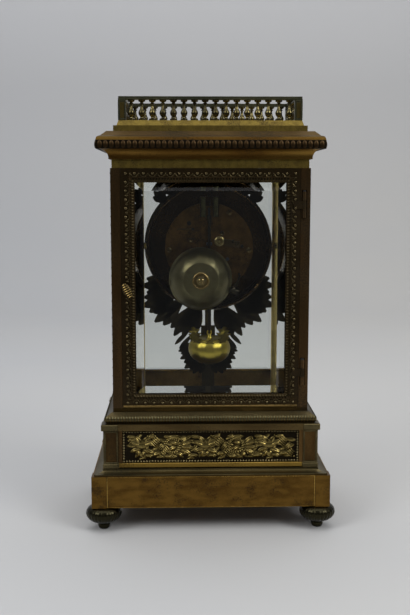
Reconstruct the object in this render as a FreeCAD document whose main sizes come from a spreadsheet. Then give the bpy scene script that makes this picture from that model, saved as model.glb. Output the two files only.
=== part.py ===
import FreeCAD, Part
import math
import os
import Sketcher

# Cage clock: a glazed brass case on a plinth, with a drum movement, bell and pendulum inside.
# Front is -Y, rear door is +Y, up is +Z. The origin is on the table, under the middle of the case.

Vector = FreeCAD.Vector
Rotation = FreeCAD.Rotation
UP = Vector(0, 0, 1)

SIZES = {
    # feet
    "foot_height": 25.0,
    "foot_radius": 19.0,
    "foot_neck_radius": 9.0,
    "foot_neck_height": 4.0,
    "foot_knob_radius": 5.5,
    "foot_knob_height": 8.0,
    "foot_knob_sink": 2.0,
    "foot_inset": 10.5,
    "foot_stud_radius": 3.0,
    "foot_stud_length": 7.0,
    # plinth
    "plinth_height": 34.0,
    "plinth_spread": 20.9,
    "plinth_wall": 6.0,
    "plinth_floor": 4.0,
    "corner_block_width": 15.5,
    "corner_block_proud": 1.2,
    "slope_height": 5.0,
    "slope_lip": 1.5,
    # frieze block, cap and ledge
    "block_height": 41.0,
    "block_spread": 9.5,
    "block_wall": 8.0,
    "pilaster_width": 15.0,
    "pilaster_panel_depth": 0.8,
    "pilaster_panel_border": 3.0,
    "panel_thick": 2.5,
    "panel_border": 4.5,
    "scroll_relief": 1.2,
    "scroll_period": 66.0,
    "scroll_margin": 1.0,
    "cap_height": 7.0,
    "cap_spread": 11.1,
    "ledge_height": 7.5,
    "ledge_spread": 8.6,
    "ledge_slope": 3.5,
    "ledge_seat": 6.0,
    "ledge_neck": 2.0,
    "ledge_quirk": 0.8,
    "ledge_margin": 1.0,
    # glazed body
    "floor_thick": 4.0,
    "post_width": 10.0,
    "side_thick": 7.0,
    "side_gap": 13.15,
    "door_thick": 8.0,
    "door_border": 14.3,
    "door_gap": 0.3,
    "bead_seat": 8.0,
    "leaf_rise": 0.8,
    "lip_thick": 1.2,
    "glass_thick": 5.0,
    "glass_rebate": 3.0,
    "glass_bevel": 8.5,
    "glass_bevel_depth": 3.4,
    "glass_clear": 0.15,
    # hinges and latches
    "hinge_radius": 2.2,
    "hinge_pin_radius": 1.0,
    "hinge_head_radius": 1.7,
    "hinge_head_height": 1.5,
    "hinge_length": 27.0,
    "hinge_offset": 4.0,
    "hinge_inset": 24.0,
    "hinge_slot_clear": 0.5,
    "hinge_leaf_thick": 1.2,
    "running_clear": 0.05,
    "knuckle_gap": 0.3,
    "latch_inset": 6.0,
    "latch_length": 17.0,
    "latch_width": 9.5,
    "latch_thick": 4.0,
    "latch_neck": 2.0,
    "latch_spindle_radius": 2.0,
    "tongue_length": 11.0,
    "tongue_width": 5.0,
    "tongue_thick": 2.0,
    # architrave, cornice, attic and gallery
    "architrave_height": 9.0,
    "architrave_inset": 1.5,
    "architrave_wall": 7.0,
    "cornice_fillet": 2.0,
    "cornice_fillet_spread": 1.4,
    "cavetto_height": 8.5,
    "cavetto_spread": 10.0,
    "cornice_edge_height": 12.0,
    "cornice_spread": 12.45,
    "cornice_slope_height": 5.5,
    "cornice_slope_spread": 3.0,
    "cornice_ease": 1.0,
    "cornice_drip": 4.0,
    "attic_step_height": 6.0,
    "attic_inset": 3.5,
    "attic_slope_height": 5.5,
    "attic_upper_inset": 6.7,
    "attic_skin": 3.5,
    "attic_wall": 6.0,
    "gallery_height": 24.0,
    "gallery_inset": 8.65,
    "gallery_rail_height": 3.3,
    "gallery_rail_width": 7.0,
    "gallery_post_width": 7.6,
    "baluster_radius": 3.6,
    "baluster_neck_radius": 1.5,
    "baluster_foot": 2.0,
    "baluster_slope": 1.2,
    "baluster_collar": 1.3,
    "baluster_pitch": 10.7,
    # drum, uprights and dial
    "drum_room": 10.5,
    "drum_wall": 2.0,
    "drum_rear": 4.0,
    "drum_web_thick": 2.0,
    "drum_web_lap": 4.0,
    "drum_gap": 4.7,
    "head_gap": 16.8,
    "upright_width": 7.4,
    "upright_thick": 5.0,
    "upright_clear": 0.65,
    "clamp_height": 6.0,
    "clamp_thick": 3.0,
    "clamp_screw_radius": 2.2,
    "dial_thick": 2.0,
    "dial_margin": 1.5,
    "bezel_proud": 3.0,
    "bezel_lap": 3.5,
    "bezel_width": 9.5,
    "bezel_lip": 0.9,
    "surround_margin": 1.0,
    "surround_ring": 10.5,
    "surround_stem": 22.0,
    # movement plates
    "plate_thick": 2.5,
    "pillar_radius": 2.5,
    "pillar_inset": 4.5,
    "plate_clear": 0.2,
    "arbor_radius": 1.0,
    "winding_radius": 2.0,
    "winding_square": 2.6,
    "winding_hole_radius": 4.0,
    "winding_sink": 0.3,
    "winding_shoulder": 0.5,
    # trains
    "train_module": 0.5,
    "fine_module": 0.4,
    "escape_module": 0.36,
    "wheel_thick": 1.2,
    "pinion_extra": 0.4,
    "level_gap": 1.0,
    "motion_gap": 0.5,
    "pipe_wall": 1.2,
    "pipe_hole_clear": 0.8,
    "barrel_margin": 0.95,
    "barrel_gap": 3.3,
    "barrel_drop": 13.0,
    "barrel_length": 16.0,
    "escape_radius": 11.3,
    "anchor_gap": 3.2,
    "anchor_inset": 6.0,
    "pallet_clear": 1.3,
    "anchor_arm_width": 1.8,
    "pin_circle": 8.0,
    "pin_radius": 0.5,
    "pin_length": 2.0,
    # pendulum
    "pendulum_offset": 7.0,
    "rod_radius": 1.5,
    "crutch_length": 38.0,
    "crutch_width": 2.4,
    "crutch_thick": 1.4,
    "crutch_gap": 1.2,
    "fork_clear": 0.25,
    "fork_height": 3.0,
    "prong_width": 1.2,
    "hook_size": 4.5,
    "spring_width": 6.0,
    "spring_thick": 0.3,
    "spring_length": 14.0,
    "spring_slot": 1.8,
    "spring_clear": 1.0,
    "cock_width": 20.0,
    "cock_height": 22.0,
    "cock_lift": 2.0,
    "cock_roof": 4.0,
    "cock_mouth_width": 9.0,
    "cock_mouth_height": 12.0,
    "bob_radius": 21.5,
    "bob_height": 34.0,
    "bob_gap": 41.2,
    "bob_clear": 24.0,
    # bell
    "bell_radius": 34.0,
    "bell_side": 9.8,
    "bell_drop": 33.0,
    "bell_standoff": 14.0,
    "bell_depth": 22.0,
    "bell_wall": 1.8,
    "bell_stand_radius": 2.4,
    "bell_collar_radius": 5.0,
    "bell_collar_thick": 2.0,
    "bell_nut_radius": 5.0,
    "bell_rim_step": 2.0,
    "bell_nut_length": 4.0,
    "bell_stud_end": 1.0,
    "rear_gap": 6.0,
    # hammer
    "hammer_angle": 200.0,
    "hammer_head_radius": 4.0,
    "hammer_head_length": 9.0,
    "hammer_clear": 0.4,
    "hammer_inset": 3.9,
    "hammer_depth": 1.0,
    "hammer_bar_thick": 2.0,
    "hammer_bar_width": 2.2,
    "tail_thick": 1.0,
    "tail_width": 1.8,
    "tail_gap": 1.0,
    # hands
    "hour_hand_length": 33.0,
    "hand_thick": 0.8,
    "hand_width": 5.0,
    "hand_hub_wall": 1.6,
    "hand_ring_wall": 1.0,
    "hand_reach_gap": 10.0,
    "hand_gap": 0.8,
    "hour_hand_gap": 0.9,
    "pipe_proud": 0.2,
    "arbor_proud": 1.8,
    "glass_gap": 1.2,
}

# Tooth counts of the going train, the motion work and the strike train.
BARREL_TEETH = 72
INTERMEDIATE_PINION = 10
INTERMEDIATE_TEETH = 72
CENTRE_PINION = 12
CENTRE_TEETH = 96
THIRD_PINION = 8
THIRD_TEETH = 96
ESCAPE_PINION = 8
ESCAPE_TEETH = 32
CANNON_TEETH = 12
MINUTE_TEETH = 36
MINUTE_PINION = 10
HOUR_TEETH = 40
PIN_WHEEL_PINION = 10
PIN_WHEEL_TEETH = 60
PIN_COUNT = 8

# Tooth form, as shares of the module or of the tooth pitch.
WHEEL_ADDENDUM = 0.7
PINION_ADDENDUM = 0.6
WHEEL_DEDENDUM = 1.1
PINION_DEDENDUM = 1.25
WHEEL_TOOTH_SHARE = 0.38
PINION_TOOTH_SHARE = 0.32
TIP_SHARE = 0.5
ROOT_SHARE = 1.2
ESCAPE_ROOT_SHARE = 0.8
ESCAPE_ROOT_LEAD = -0.06
ESCAPE_TIP_LAND = 0.012
ESCAPE_ROOT_TRAIL = 0.04

# The centre, third and escape arbors are folded to this share of their straight line.
TRAIN_FOLD = 0.696

# Radius of a nearly half-round arc, as a share of its chord.
FULL_ARC = 0.58

# Profile of the bob, as shares of its radius and height, with arcs as shares of its radius.
BOB_PROFILE = ((0, 0), (0.3, 0), (0.3, 0.06), (0.55, 0.08, 0.9), (1, 0.38, 0.75), (0.62, 0.68), (0.8, 0.74),
               (0.66, 0.86), (0.2, 0.9), (0.2, 1), (0, 1))

# Bell shoulder and bow, as shares of its radius and depth.
BELL_SHOULDER = 0.55
BELL_SHOULDER_DEPTH = 0.92
BELL_BOW = 0.85
BELL_BAND_DEPTH = 0.1
BELL_STEP_DEPTH = 0.2
BELL_INSIDE = 0.3

# Baluster belly height and bows, as shares of the baluster's height.
BELLY_HEIGHT = 0.42
LOWER_BOW = 0.4
UPPER_BOW = 0.6

# Scroll roundels, petals and leaves, as shares of the panel's height or of the half period.
PETALS = 6
EYE_RADIUS = 0.16
PETAL_LENGTH = 0.42
PETAL_WIDTH = 0.2
LEAF_LENGTH = 0.62
LEAF_WIDTH = 0.24
LEAF_START = 0.18
LEAF_LEAN = 35
LEAF_BELLY = 0.45

# Angles in degrees: the latch knob's tilt, the pallets' spread, the hammer pivot and the hands.
LATCH_TILT = 28
PALLET_LEAN = 60
HAMMER_PIVOT_ANGLE = 221.8
HOUR_ANGLE = 305
MINUTE_ANGLE = 60
PILLAR_ANGLES = (-4, 184, 120, -80)

# Where the ring of a hand lies, as a share of its length, and the tip's width as a share of the ring's.
HAND_EYE = 0.68
HAND_TIP = 0.6


class Size:
    """A length with the sheet expression that gives it."""

    def __init__(self, text, value):
        self.text = text
        self.value = value

    def __float__(self):
        return float(self.value)

    def joined(self, sign, other, swapped=False):
        """Combine with a number or another size."""
        text = other.text if isinstance(other, Size) else repr(float(other))
        first, second = (float(other), float(self)) if swapped else (float(self), float(other))
        words = (text, self.text) if swapped else (self.text, text)
        values = {"+": first + second, "-": first - second, "*": first * second, "/": first / (second or 1)}
        return Size(f"({words[0]} {sign} {words[1]})", values[sign])

    def __add__(self, other):
        return self.joined("+", other)

    def __radd__(self, other):
        return self.joined("+", other, True)

    def __sub__(self, other):
        return self.joined("-", other)

    def __rsub__(self, other):
        return self.joined("-", other, True)

    def __mul__(self, other):
        return self.joined("*", other)

    def __rmul__(self, other):
        return self.joined("*", other, True)

    def __truediv__(self, other):
        return self.joined("/", other)

    def __neg__(self):
        return self.joined("*", -1)


class Sheet:
    """The document's spreadsheet, read by alias."""

    def __init__(self, doc):
        self.cells = doc.addObject("Spreadsheet::Sheet", "Sizes")
        for row, (alias, value) in enumerate(SIZES.items(), start=1):
            self.cells.set(f"A{row}", alias.replace("_", " "))
            self.cells.set(f"B{row}", str(value))
            self.cells.setAlias(f"B{row}", alias)
        doc.recompute()

    def __getattr__(self, alias):
        return Size(f"Sizes.{alias}", self.cells.get(alias))


doc = FreeCAD.newDocument("CageClock")
size = Sheet(doc)
nodes = {}


def bind(obj, prop, value):
    """Set a property, by expression where the value comes from the sheet."""
    if isinstance(value, Size):
        obj.setExpression(prop, value.text)
    else:
        setattr(obj, prop, value)


def put(obj, x=0, y=0, z=0, rotation=Rotation()):
    """Place an object, with each coordinate bound where it comes from the sheet."""
    obj.Placement = FreeCAD.Placement(Vector(float(x), float(y), float(z)), rotation)
    for axis, value in zip("xyz", (x, y, z)):
        if isinstance(value, Size):
            obj.setExpression(f"Placement.Base.{axis}", value.text)
    return obj


def node(obj, label):
    """Register an object as a sub-part under its label."""
    obj.Label = label
    nodes[label] = obj
    return obj


def block(name, wide, deep, high, x=0, y=0, z=0):
    """A box centred on x and y, standing on z."""
    box = doc.addObject("Part::Box", name)
    bind(box, "Length", wide)
    bind(box, "Width", deep)
    bind(box, "Height", high)
    return put(box, x - wide / 2, y - deep / 2, z)


def rod(name, radius, length, x=0, y=0, z=0, along="Y"):
    """A cylinder that starts at a point and runs along +X, +Y or +Z."""
    cylinder = doc.addObject("Part::Cylinder", name)
    bind(cylinder, "Radius", radius)
    bind(cylinder, "Height", length)
    direction = {"X": Vector(1, 0, 0), "Y": Vector(0, 1, 0), "Z": UP}[along]
    return put(cylinder, x, y, z, Rotation(UP, direction))


def fuse(name, shapes):
    """Join several objects into one."""
    joined = doc.addObject("Part::MultiFuse", name)
    joined.Shapes = list(shapes)
    return joined


def cut(name, base, tools):
    """Take tools away from a base."""
    result = doc.addObject("Part::Cut", name)
    result.Base = base
    result.Tool = tools[0] if len(tools) == 1 else fuse(f"{name}_cuts", tools)
    return result


def plane(body, role):
    """One of a body's own origin planes."""
    return next(feature for feature in body.Origin.OriginFeatures if feature.Role == role)


def sketch_on(body, name, role):
    """A new sketch on one of the body's origin planes."""
    sketch = body.newObject("Sketcher::SketchObject", name)
    sketch.AttachmentSupport = (plane(body, role), "")
    sketch.MapMode = "FlatFace"
    return sketch


def constrain(sketch, kind, value, *where):
    """Add a dimension, bound to the sheet where its value comes from there."""
    index = sketch.addConstraint(Sketcher.Constraint(kind, *where, float(value)))
    if isinstance(value, Size):
        sketch.setExpression(f"Constraints[{index}]", value.text)


def outline(sketch, corners):
    """Draw a closed outline. A corner's third value is the radius of the arc to the next, + to turn left."""
    count = len(corners)
    first = sketch.GeometryCount
    ends = []
    for index, corner in enumerate(corners):
        follower = corners[(index + 1) % count]
        start = Vector(float(corner[0]), float(corner[1]), 0)
        end = Vector(float(follower[0]), float(follower[1]), 0)
        if len(corner) == 2:
            sketch.addGeometry(Part.LineSegment(start, end))
            ends.append((1, 2))
            continue
        radius = float(corner[2])
        half = (end - start) * 0.5
        reach = math.sqrt(max(radius ** 2 - half.Length ** 2, 0))
        left = Vector(-half.y, half.x, 0).normalize() * math.copysign(reach, radius)
        centre = start + half + left
        circle = Part.Circle(centre, UP, abs(radius))
        angles = [math.atan2(point.y - centre.y, point.x - centre.x) for point in (start, end)]
        if radius < 0:
            angles.reverse()
        sketch.addGeometry(Part.ArcOfCircle(circle, *angles))
        ends.append((1, 2) if radius > 0 else (2, 1))
    for index in range(count):
        after = (index + 1) % count
        sketch.addConstraint(Sketcher.Constraint("Coincident", first + index, ends[index][1],
                                                 first + after, ends[after][0]))
    for index, corner in enumerate(corners):
        constrain(sketch, "DistanceX", corner[0], -1, 1, first + index, ends[index][0])
        constrain(sketch, "DistanceY", corner[1], -1, 1, first + index, ends[index][0])
        if len(corner) == 3:
            radius = corner[2] if float(corner[2]) > 0 else -corner[2]
            constrain(sketch, "Radius", radius, first + index)


def lathe(name, corners, x=0, y=0, z=0, along="Z"):
    """Turn a profile of (radius, distance along the axis) about an axis along +Z or +Y."""
    body = doc.addObject("PartDesign::Body", name)
    profile = sketch_on(body, f"{name}_profile", "XZ_Plane")
    outline(profile, corners)
    turning = body.newObject("PartDesign::Revolution", f"{name}_turning")
    turning.Profile = profile
    turning.ReferenceAxis = (profile, ["V_Axis"])
    turning.Angle = 360
    return put(body, x, y, z, Rotation() if along == "Z" else Rotation(Vector(1, 0, 0), -90))


def moulding(name, half_wide, half_deep, corners, x=0, y=0, z=0, rotation=Rotation()):
    """Sweep a profile round a rectangle with mitred corners. Corners are (out from the rectangle, up)."""
    body = doc.addObject("PartDesign::Body", name)
    path = sketch_on(body, f"{name}_path", "XY_Plane")
    outline(path, [(-half_wide, -half_deep), (half_wide, -half_deep),
                   (half_wide, half_deep), (-half_wide, half_deep)])
    profile = sketch_on(body, f"{name}_profile", "XZ_Plane")
    outline(profile, [(half_wide + corner[0], *corner[1:]) for corner in corners])
    pipe = body.newObject("PartDesign::AdditivePipe", f"{name}_sweep")
    pipe.Profile = profile
    pipe.Spine = (path, ["Edge1", "Edge2", "Edge3", "Edge4"])
    pipe.Transition = "Right corner"
    return put(body, x, y, z, rotation)


def ring_box(name, wide, deep, high, wall, z):
    """A rectangular ring of even wall, standing on z."""
    inner = block(f"{name}_inside", wide - 2 * wall, deep - 2 * wall, high, z=z)
    return cut(name, block(f"{name}_outside", wide, deep, high, z=z), [inner])


def facing(outward):
    """Turn a piece drawn flat on XY so that its top faces outward and its Y points up."""
    return Rotation(UP.cross(outward), UP, outward)


def solid_node(label, shape, placement=None):
    """Register a shape that has been worked out point by point."""
    feature = doc.addObject("Part::Feature", label)
    feature.Shape = shape
    feature.Placement = placement or FreeCAD.Placement()
    return node(feature, label)


def copies(label, master, places):
    """A node of separate copies of one shape, each at its own place."""
    doc.recompute()
    shapes = []
    for place in places:
        shape = master.Shape.copy()
        shape.translate(place)
        shapes.append(shape)
    return solid_node(label, Part.makeCompound(shapes))


def four_corners(half_wide, half_deep, z=0):
    """The four corner points of a rectangle about the Z axis."""
    corner = Vector(float(half_wide), float(half_deep), float(z))
    return [Vector(sx * corner.x, sy * corner.y, corner.z) for sx in (-1, 1) for sy in (-1, 1)]


# Train levels behind the front plate, from front to back.
pinion_long = size.wheel_thick + 2 * size.pinion_extra
centre_level = size.level_gap + size.pinion_extra
barrel_level = centre_level + size.wheel_thick + size.pinion_extra + size.level_gap
great_level = barrel_level + size.barrel_length
intermediate_level = great_level + pinion_long + size.level_gap
third_level = intermediate_level + size.wheel_thick + size.pinion_extra + size.level_gap
plate_gap = third_level + size.wheel_thick + size.pinion_extra + size.level_gap
motion_room = pinion_long + 2 * size.wheel_thick + size.pinion_extra + size.motion_gap + size.plate_clear
hand_room = (size.hour_hand_gap + 2 * size.hand_thick + size.pipe_proud + size.hand_gap + size.arbor_proud
             + size.glass_gap)

# Radii and heights of the movement.
great_radius = size.train_module * BARREL_TEETH / 2
barrel_radius = great_radius - WHEEL_DEDENDUM * size.train_module - size.barrel_margin
barrel_spacing = great_radius + WHEEL_ADDENDUM * size.train_module + size.barrel_gap / 2
centre_reach = size.fine_module * (CENTRE_TEETH + THIRD_PINION) / 2
escape_reach = size.escape_module * (THIRD_TEETH + ESCAPE_PINION) / 2
escape_rise = (centre_reach + escape_reach) * TRAIN_FOLD
anchor_rise = escape_rise + size.escape_radius + size.anchor_gap
plate_radius = anchor_rise + size.anchor_inset
pendulum_length = anchor_rise + size.bell_drop + size.bell_radius + size.bob_clear + size.bob_height / 2
drum_radius = (anchor_rise + size.cock_height / 2 + size.cock_lift + size.drum_room
               + size.drum_wall)
sight_radius = drum_radius - size.bezel_width
cock_depth = size.pendulum_offset + size.spring_width / 2 + size.spring_clear

# Overall widths, depths and levels follow from the movement and the gaps round it.
body_wide = 2 * (drum_radius + size.drum_gap + size.upright_width + size.side_gap + size.post_width)
door_depth = size.door_thick - size.lip_thick
body_deep = (2 * door_depth + hand_room + size.dial_thick + motion_room + 2 * size.plate_thick
             + plate_gap + size.bell_standoff + size.bell_depth + size.bell_nut_length + size.rear_gap)

plinth_low = size.foot_height
plinth_top = plinth_low + size.plinth_height
block_low = plinth_top + size.slope_height
block_top = block_low + size.block_height
cap_top = block_top + size.cap_height
ledge_top = cap_top + size.ledge_height
body_low = ledge_top + size.ledge_slope
floor_top = body_low + size.floor_thick
drum_height = (floor_top + size.bob_gap + size.bob_height / 2 + pendulum_length - anchor_rise)
body_top = drum_height + drum_radius + size.head_gap
architrave_top = body_top + size.architrave_height
cornice_height = (size.cornice_fillet + size.cavetto_height + size.cornice_edge_height
                  + size.cornice_slope_height)
cornice_top = architrave_top + cornice_height
attic_top = cornice_top + size.attic_step_height + size.attic_slope_height
gallery_top = attic_top + size.gallery_height

# Places along Y, from the front glass to the rear glass.
dial_front = -body_deep / 2 + door_depth + hand_room
dial_back = dial_front + size.dial_thick
front_plate_face = dial_back + motion_room
front_plate_back = front_plate_face + size.plate_thick
back_plate_front = front_plate_back + plate_gap
back_plate_face = back_plate_front + size.plate_thick
bell_rim = back_plate_face + size.bell_standoff
bell_crown = bell_rim + size.bell_depth
rod_y = back_plate_face + size.pendulum_offset
cannon_y = front_plate_face - size.plate_clear - pinion_long


def make_base():
    """Feet, plinth, slope, frieze block with its panels, and ledge."""
    plinth_wide = body_wide + 2 * size.plinth_spread
    plinth_deep = body_deep + 2 * size.plinth_spread
    foot_x = plinth_wide / 2 - size.foot_inset
    foot_y = plinth_deep / 2 - size.foot_inset
    disc_low = size.foot_knob_height - size.foot_knob_sink
    disc_top = size.foot_height - size.foot_neck_height
    disc_half = (disc_top - disc_low) / 2
    foot = lathe("foot_master", [
        (0, 0), (size.foot_knob_radius, 0, size.foot_knob_height), (size.foot_knob_radius, disc_low),
        (size.foot_radius - disc_half, disc_low, disc_half),
        (size.foot_radius, disc_low + disc_half, disc_half), (size.foot_radius - disc_half, disc_top),
        (size.foot_neck_radius, disc_top), (size.foot_neck_radius, size.foot_height),
        (size.foot_stud_radius, size.foot_height),
        (size.foot_stud_radius, size.foot_height + size.foot_stud_length),
        (0, size.foot_height + size.foot_stud_length)])
    copies("feet", foot, four_corners(foot_x, foot_y))

    walls = block("plinth_walls", plinth_wide, plinth_deep, size.plinth_height, z=plinth_low)
    corner_x = plinth_wide / 2 - size.corner_block_width / 2 + size.corner_block_proud
    corner_y = plinth_deep / 2 - size.corner_block_width / 2 + size.corner_block_proud
    blocks = [block("plinth_corner", size.corner_block_width, size.corner_block_width, size.plinth_height,
                    sx * corner_x, sy * corner_y, plinth_low) for sx in (-1, 1) for sy in (-1, 1)]
    cavity = block("plinth_cavity", plinth_wide - 2 * size.plinth_wall, plinth_deep - 2 * size.plinth_wall,
                   size.plinth_height, z=plinth_low + size.plinth_floor)
    holes = [rod("plinth_hole", size.foot_stud_radius + size.running_clear, size.plinth_height / 2,
                 sx * foot_x, sy * foot_y, plinth_low, "Z") for sx in (-1, 1) for sy in (-1, 1)]
    node(cut("plinth", fuse("plinth_casting", [walls, *blocks]), [cavity, *holes]), "plinth")

    half_block = body_wide / 2 + size.block_spread
    inner_wide = half_block - size.block_wall
    inner_deep = body_deep / 2 + size.block_spread - size.block_wall
    reach = size.block_wall
    foot_reach = reach + size.plinth_spread - size.block_spread - size.slope_lip
    rise = size.slope_height - 2 * size.slope_lip
    spread = foot_reach - reach - size.slope_lip
    node(moulding("plinth_moulding", inner_wide, inner_deep, [
        (0, 0), (foot_reach, 0), (foot_reach, size.slope_lip, -(spread + rise)),
        (reach + size.slope_lip, size.slope_lip + rise), (reach + size.slope_lip, size.slope_height),
        (0, size.slope_height)], z=plinth_top), "plinth_moulding")
    make_frieze(half_block, body_deep / 2 + size.block_spread)

    cap_reach = size.ledge_seat + size.cap_spread
    neck = size.ledge_seat + size.ledge_spread - size.ledge_neck
    body_reach = size.ledge_seat + size.ledge_margin
    torus_low = size.cap_height + size.ledge_quirk
    torus_high = size.cap_height + size.ledge_height
    slope_top = torus_high + size.ledge_slope
    node(moulding("ledge", body_wide / 2 - size.ledge_seat, body_deep / 2 - size.ledge_seat, [
        (0, 0), (cap_reach, 0), (cap_reach, size.cap_height), (neck, size.cap_height),
        (neck, torus_low, (torus_high - torus_low) * FULL_ARC), (neck, torus_high), (body_reach, slope_top),
        (0, slope_top)], z=block_top), "ledge")


def scroll_relief(length, height, thick):
    """A running foliage scroll: a wave of arcs with leaf pairs, lying on XY, rising along +Z."""
    period = float(size.scroll_period)
    halves = max(1, round(length / (period / 2)))
    step = length / halves
    pieces = []
    for index in range(halves):
        centre = Vector((index + 0.5) * step - length / 2, 0, 0)
        up = 1 if index % 2 else -1
        pieces.append(Part.makeCylinder(height * EYE_RADIUS, thick, centre))
        for turn in range(PETALS):
            leaf = leaf_face(height * PETAL_LENGTH, height * PETAL_WIDTH).extrude(Vector(0, 0, thick))
            leaf.rotate(Vector(), UP, (turn + up / 2) * 360 / PETALS)
            leaf.translate(centre)
            pieces.append(leaf)
        for lean in (LEAF_LEAN, -LEAF_LEAN):
            leaf = leaf_face(step * LEAF_LENGTH, height * LEAF_WIDTH).extrude(Vector(0, 0, thick))
            leaf.rotate(Vector(), UP, lean * up)
            leaf.translate(centre + Vector(step * LEAF_START, 0, 0))
            if index < halves - 1:
                pieces.append(leaf)
    return pieces[0].fuse(pieces[1:]).removeSplitter()


def leaf_face(length, wide):
    """A pointed leaf along +X from the origin, made of two arcs."""
    tip = Vector(length, 0, 0)
    bellies = [Vector(length * LEAF_BELLY, side * wide / 2, 0) for side in (1, -1)]
    return Part.Face(Part.Wire([Part.Arc(Vector(), belly, tip).toShape() for belly in bellies]))


def make_frieze(half_wide, half_deep):
    """The frieze block and the four relief panels let into its sides."""
    outer = block("block_outside", 2 * half_wide, 2 * half_deep, size.block_height, z=block_low)
    hollow = block("block_inside", 2 * (half_wide - size.block_wall), 2 * (half_deep - size.block_wall),
                   size.block_height, z=block_low)
    recesses = []
    panels = {"back": (0, 1, half_deep, half_wide), "front": (0, -1, half_deep, half_wide),
              "right": (1, 0, half_wide, half_deep), "left": (-1, 0, half_wide, half_deep)}
    for side, (out_x, out_y, reach, half_run) in panels.items():
        run = 2 * (half_run - size.pilaster_width)
        depth = size.panel_thick
        wide, deep = (run, depth) if out_y else (depth, run)
        middle = reach - depth / 2
        recesses.append(block(f"recess_{side}", wide, deep, size.block_height, out_x * middle, out_y * middle,
                              block_low))
        make_panel(side, Vector(out_x, out_y, 0), float(reach), float(run))
    for out_x in (-1, 1):
        for out_y in (-1, 1):
            make_pilaster_recesses(recesses, out_x, out_y, half_wide, half_deep)
    node(cut("frieze_block", outer, [hollow, *recesses]), "frieze_block")


def make_pilaster_recesses(recesses, out_x, out_y, half_wide, half_deep):
    """The sunk panels on the two outer faces of one corner pilaster."""
    wide = size.pilaster_width - 2 * size.pilaster_panel_border
    high = size.block_height - 2 * size.pilaster_panel_border
    low = block_low + size.pilaster_panel_border
    depth = size.pilaster_panel_depth
    along_x = half_wide - size.pilaster_width / 2
    along_y = half_deep - size.pilaster_width / 2
    recesses.append(block("pilaster_recess", wide, depth, high, out_x * along_x,
                          out_y * (half_deep - depth / 2), low))
    recesses.append(block("pilaster_recess", depth, wide, high, out_x * (half_wide - depth / 2),
                          out_y * along_y, low))


def make_panel(side, outward, reach, run):
    """One relief panel: a plate with a raised border and a running scroll, all in its recess."""
    high = float(size.block_height)
    thick = float(size.panel_thick - size.scroll_relief)
    border = float(size.panel_border)
    relief = float(size.scroll_relief)
    plate = Part.makeBox(run, high, thick, Vector(-run / 2, -high / 2, 0))
    rim = Part.makeBox(run, high, relief, Vector(-run / 2, -high / 2, thick))
    window = Part.makeBox(run - 2 * border, high - 2 * border, relief,
                          Vector(border - run / 2, border - high / 2, thick))
    scroll = scroll_relief(run - 2 * border - 2 * float(size.scroll_margin), high - 2 * border, relief)
    scroll.translate(Vector(0, 0, thick))
    inside = scroll.common(window)
    shape = plate.fuse([rim.cut(window), inside]).removeSplitter()
    place = outward * (reach - float(size.panel_thick)) + Vector(0, 0, float(block_low) + high / 2)
    solid_node(f"frieze_panel_{side}", shape, FreeCAD.Placement(place, facing(outward)))


def make_frame_ring(label, half_wide, half_high, thick, outward, middle):
    """A mitred glass frame: flat margin, bead seat, sloping leaf moulding, lip and glass rebate."""
    border = size.door_border
    leaf = border - size.bead_seat - size.leaf_rise
    return moulding(label, half_wide - border, half_high - border, [
        (0, thick - size.lip_thick), (leaf, thick + size.leaf_rise), (leaf + size.leaf_rise, thick),
        (border, thick), (border, 0), (size.glass_rebate, 0),
        (size.glass_rebate, thick - 2 * size.lip_thick), (0, thick - 2 * size.lip_thick)],
        *middle, facing(outward))


def make_glass(label, half_wide, half_high, thick, outward, middle):
    """A bevelled pane, seated against the lip from inside. Middle is the centre of the frame's inner face."""
    spread = size.glass_rebate - size.glass_clear - size.door_border
    pane_wide = half_wide + spread
    pane_high = half_high + spread
    seat = thick - 2 * size.lip_thick
    slab = block(f"{label}_slab", 2 * pane_wide, 2 * pane_high, size.glass_thick - size.glass_bevel_depth,
                 z=seat - size.glass_thick)
    bevel = doc.addObject("Part::Wedge", f"{label}_bevel")
    inner_wide = half_wide - size.door_border - size.glass_bevel
    inner_high = half_high - size.door_border - size.glass_bevel
    for prop, value in (("Xmin", -pane_wide), ("Xmax", pane_wide), ("Zmin", -pane_high), ("Zmax", pane_high),
                        ("X2min", -inner_wide), ("X2max", inner_wide), ("Z2min", -inner_high),
                        ("Z2max", inner_high)):
        bind(bevel, prop, value)
    bind(bevel, "Ymin", 0.0)
    bind(bevel, "Ymax", size.glass_bevel_depth)
    put(bevel, 0, 0, seat - size.glass_bevel_depth, Rotation(Vector(1, 0, 0), 90))
    pane = fuse(label, [slab, bevel])
    return node(put(pane, *middle, facing(outward)), label)


def hinge_heights():
    """The lower ends of the two hinge barrels."""
    return (floor_top + size.hinge_inset, body_top - size.hinge_inset - size.hinge_length)


def door_half_wide():
    """Half the width of a door between the corner posts."""
    return body_wide / 2 - size.post_width - size.door_gap


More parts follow.
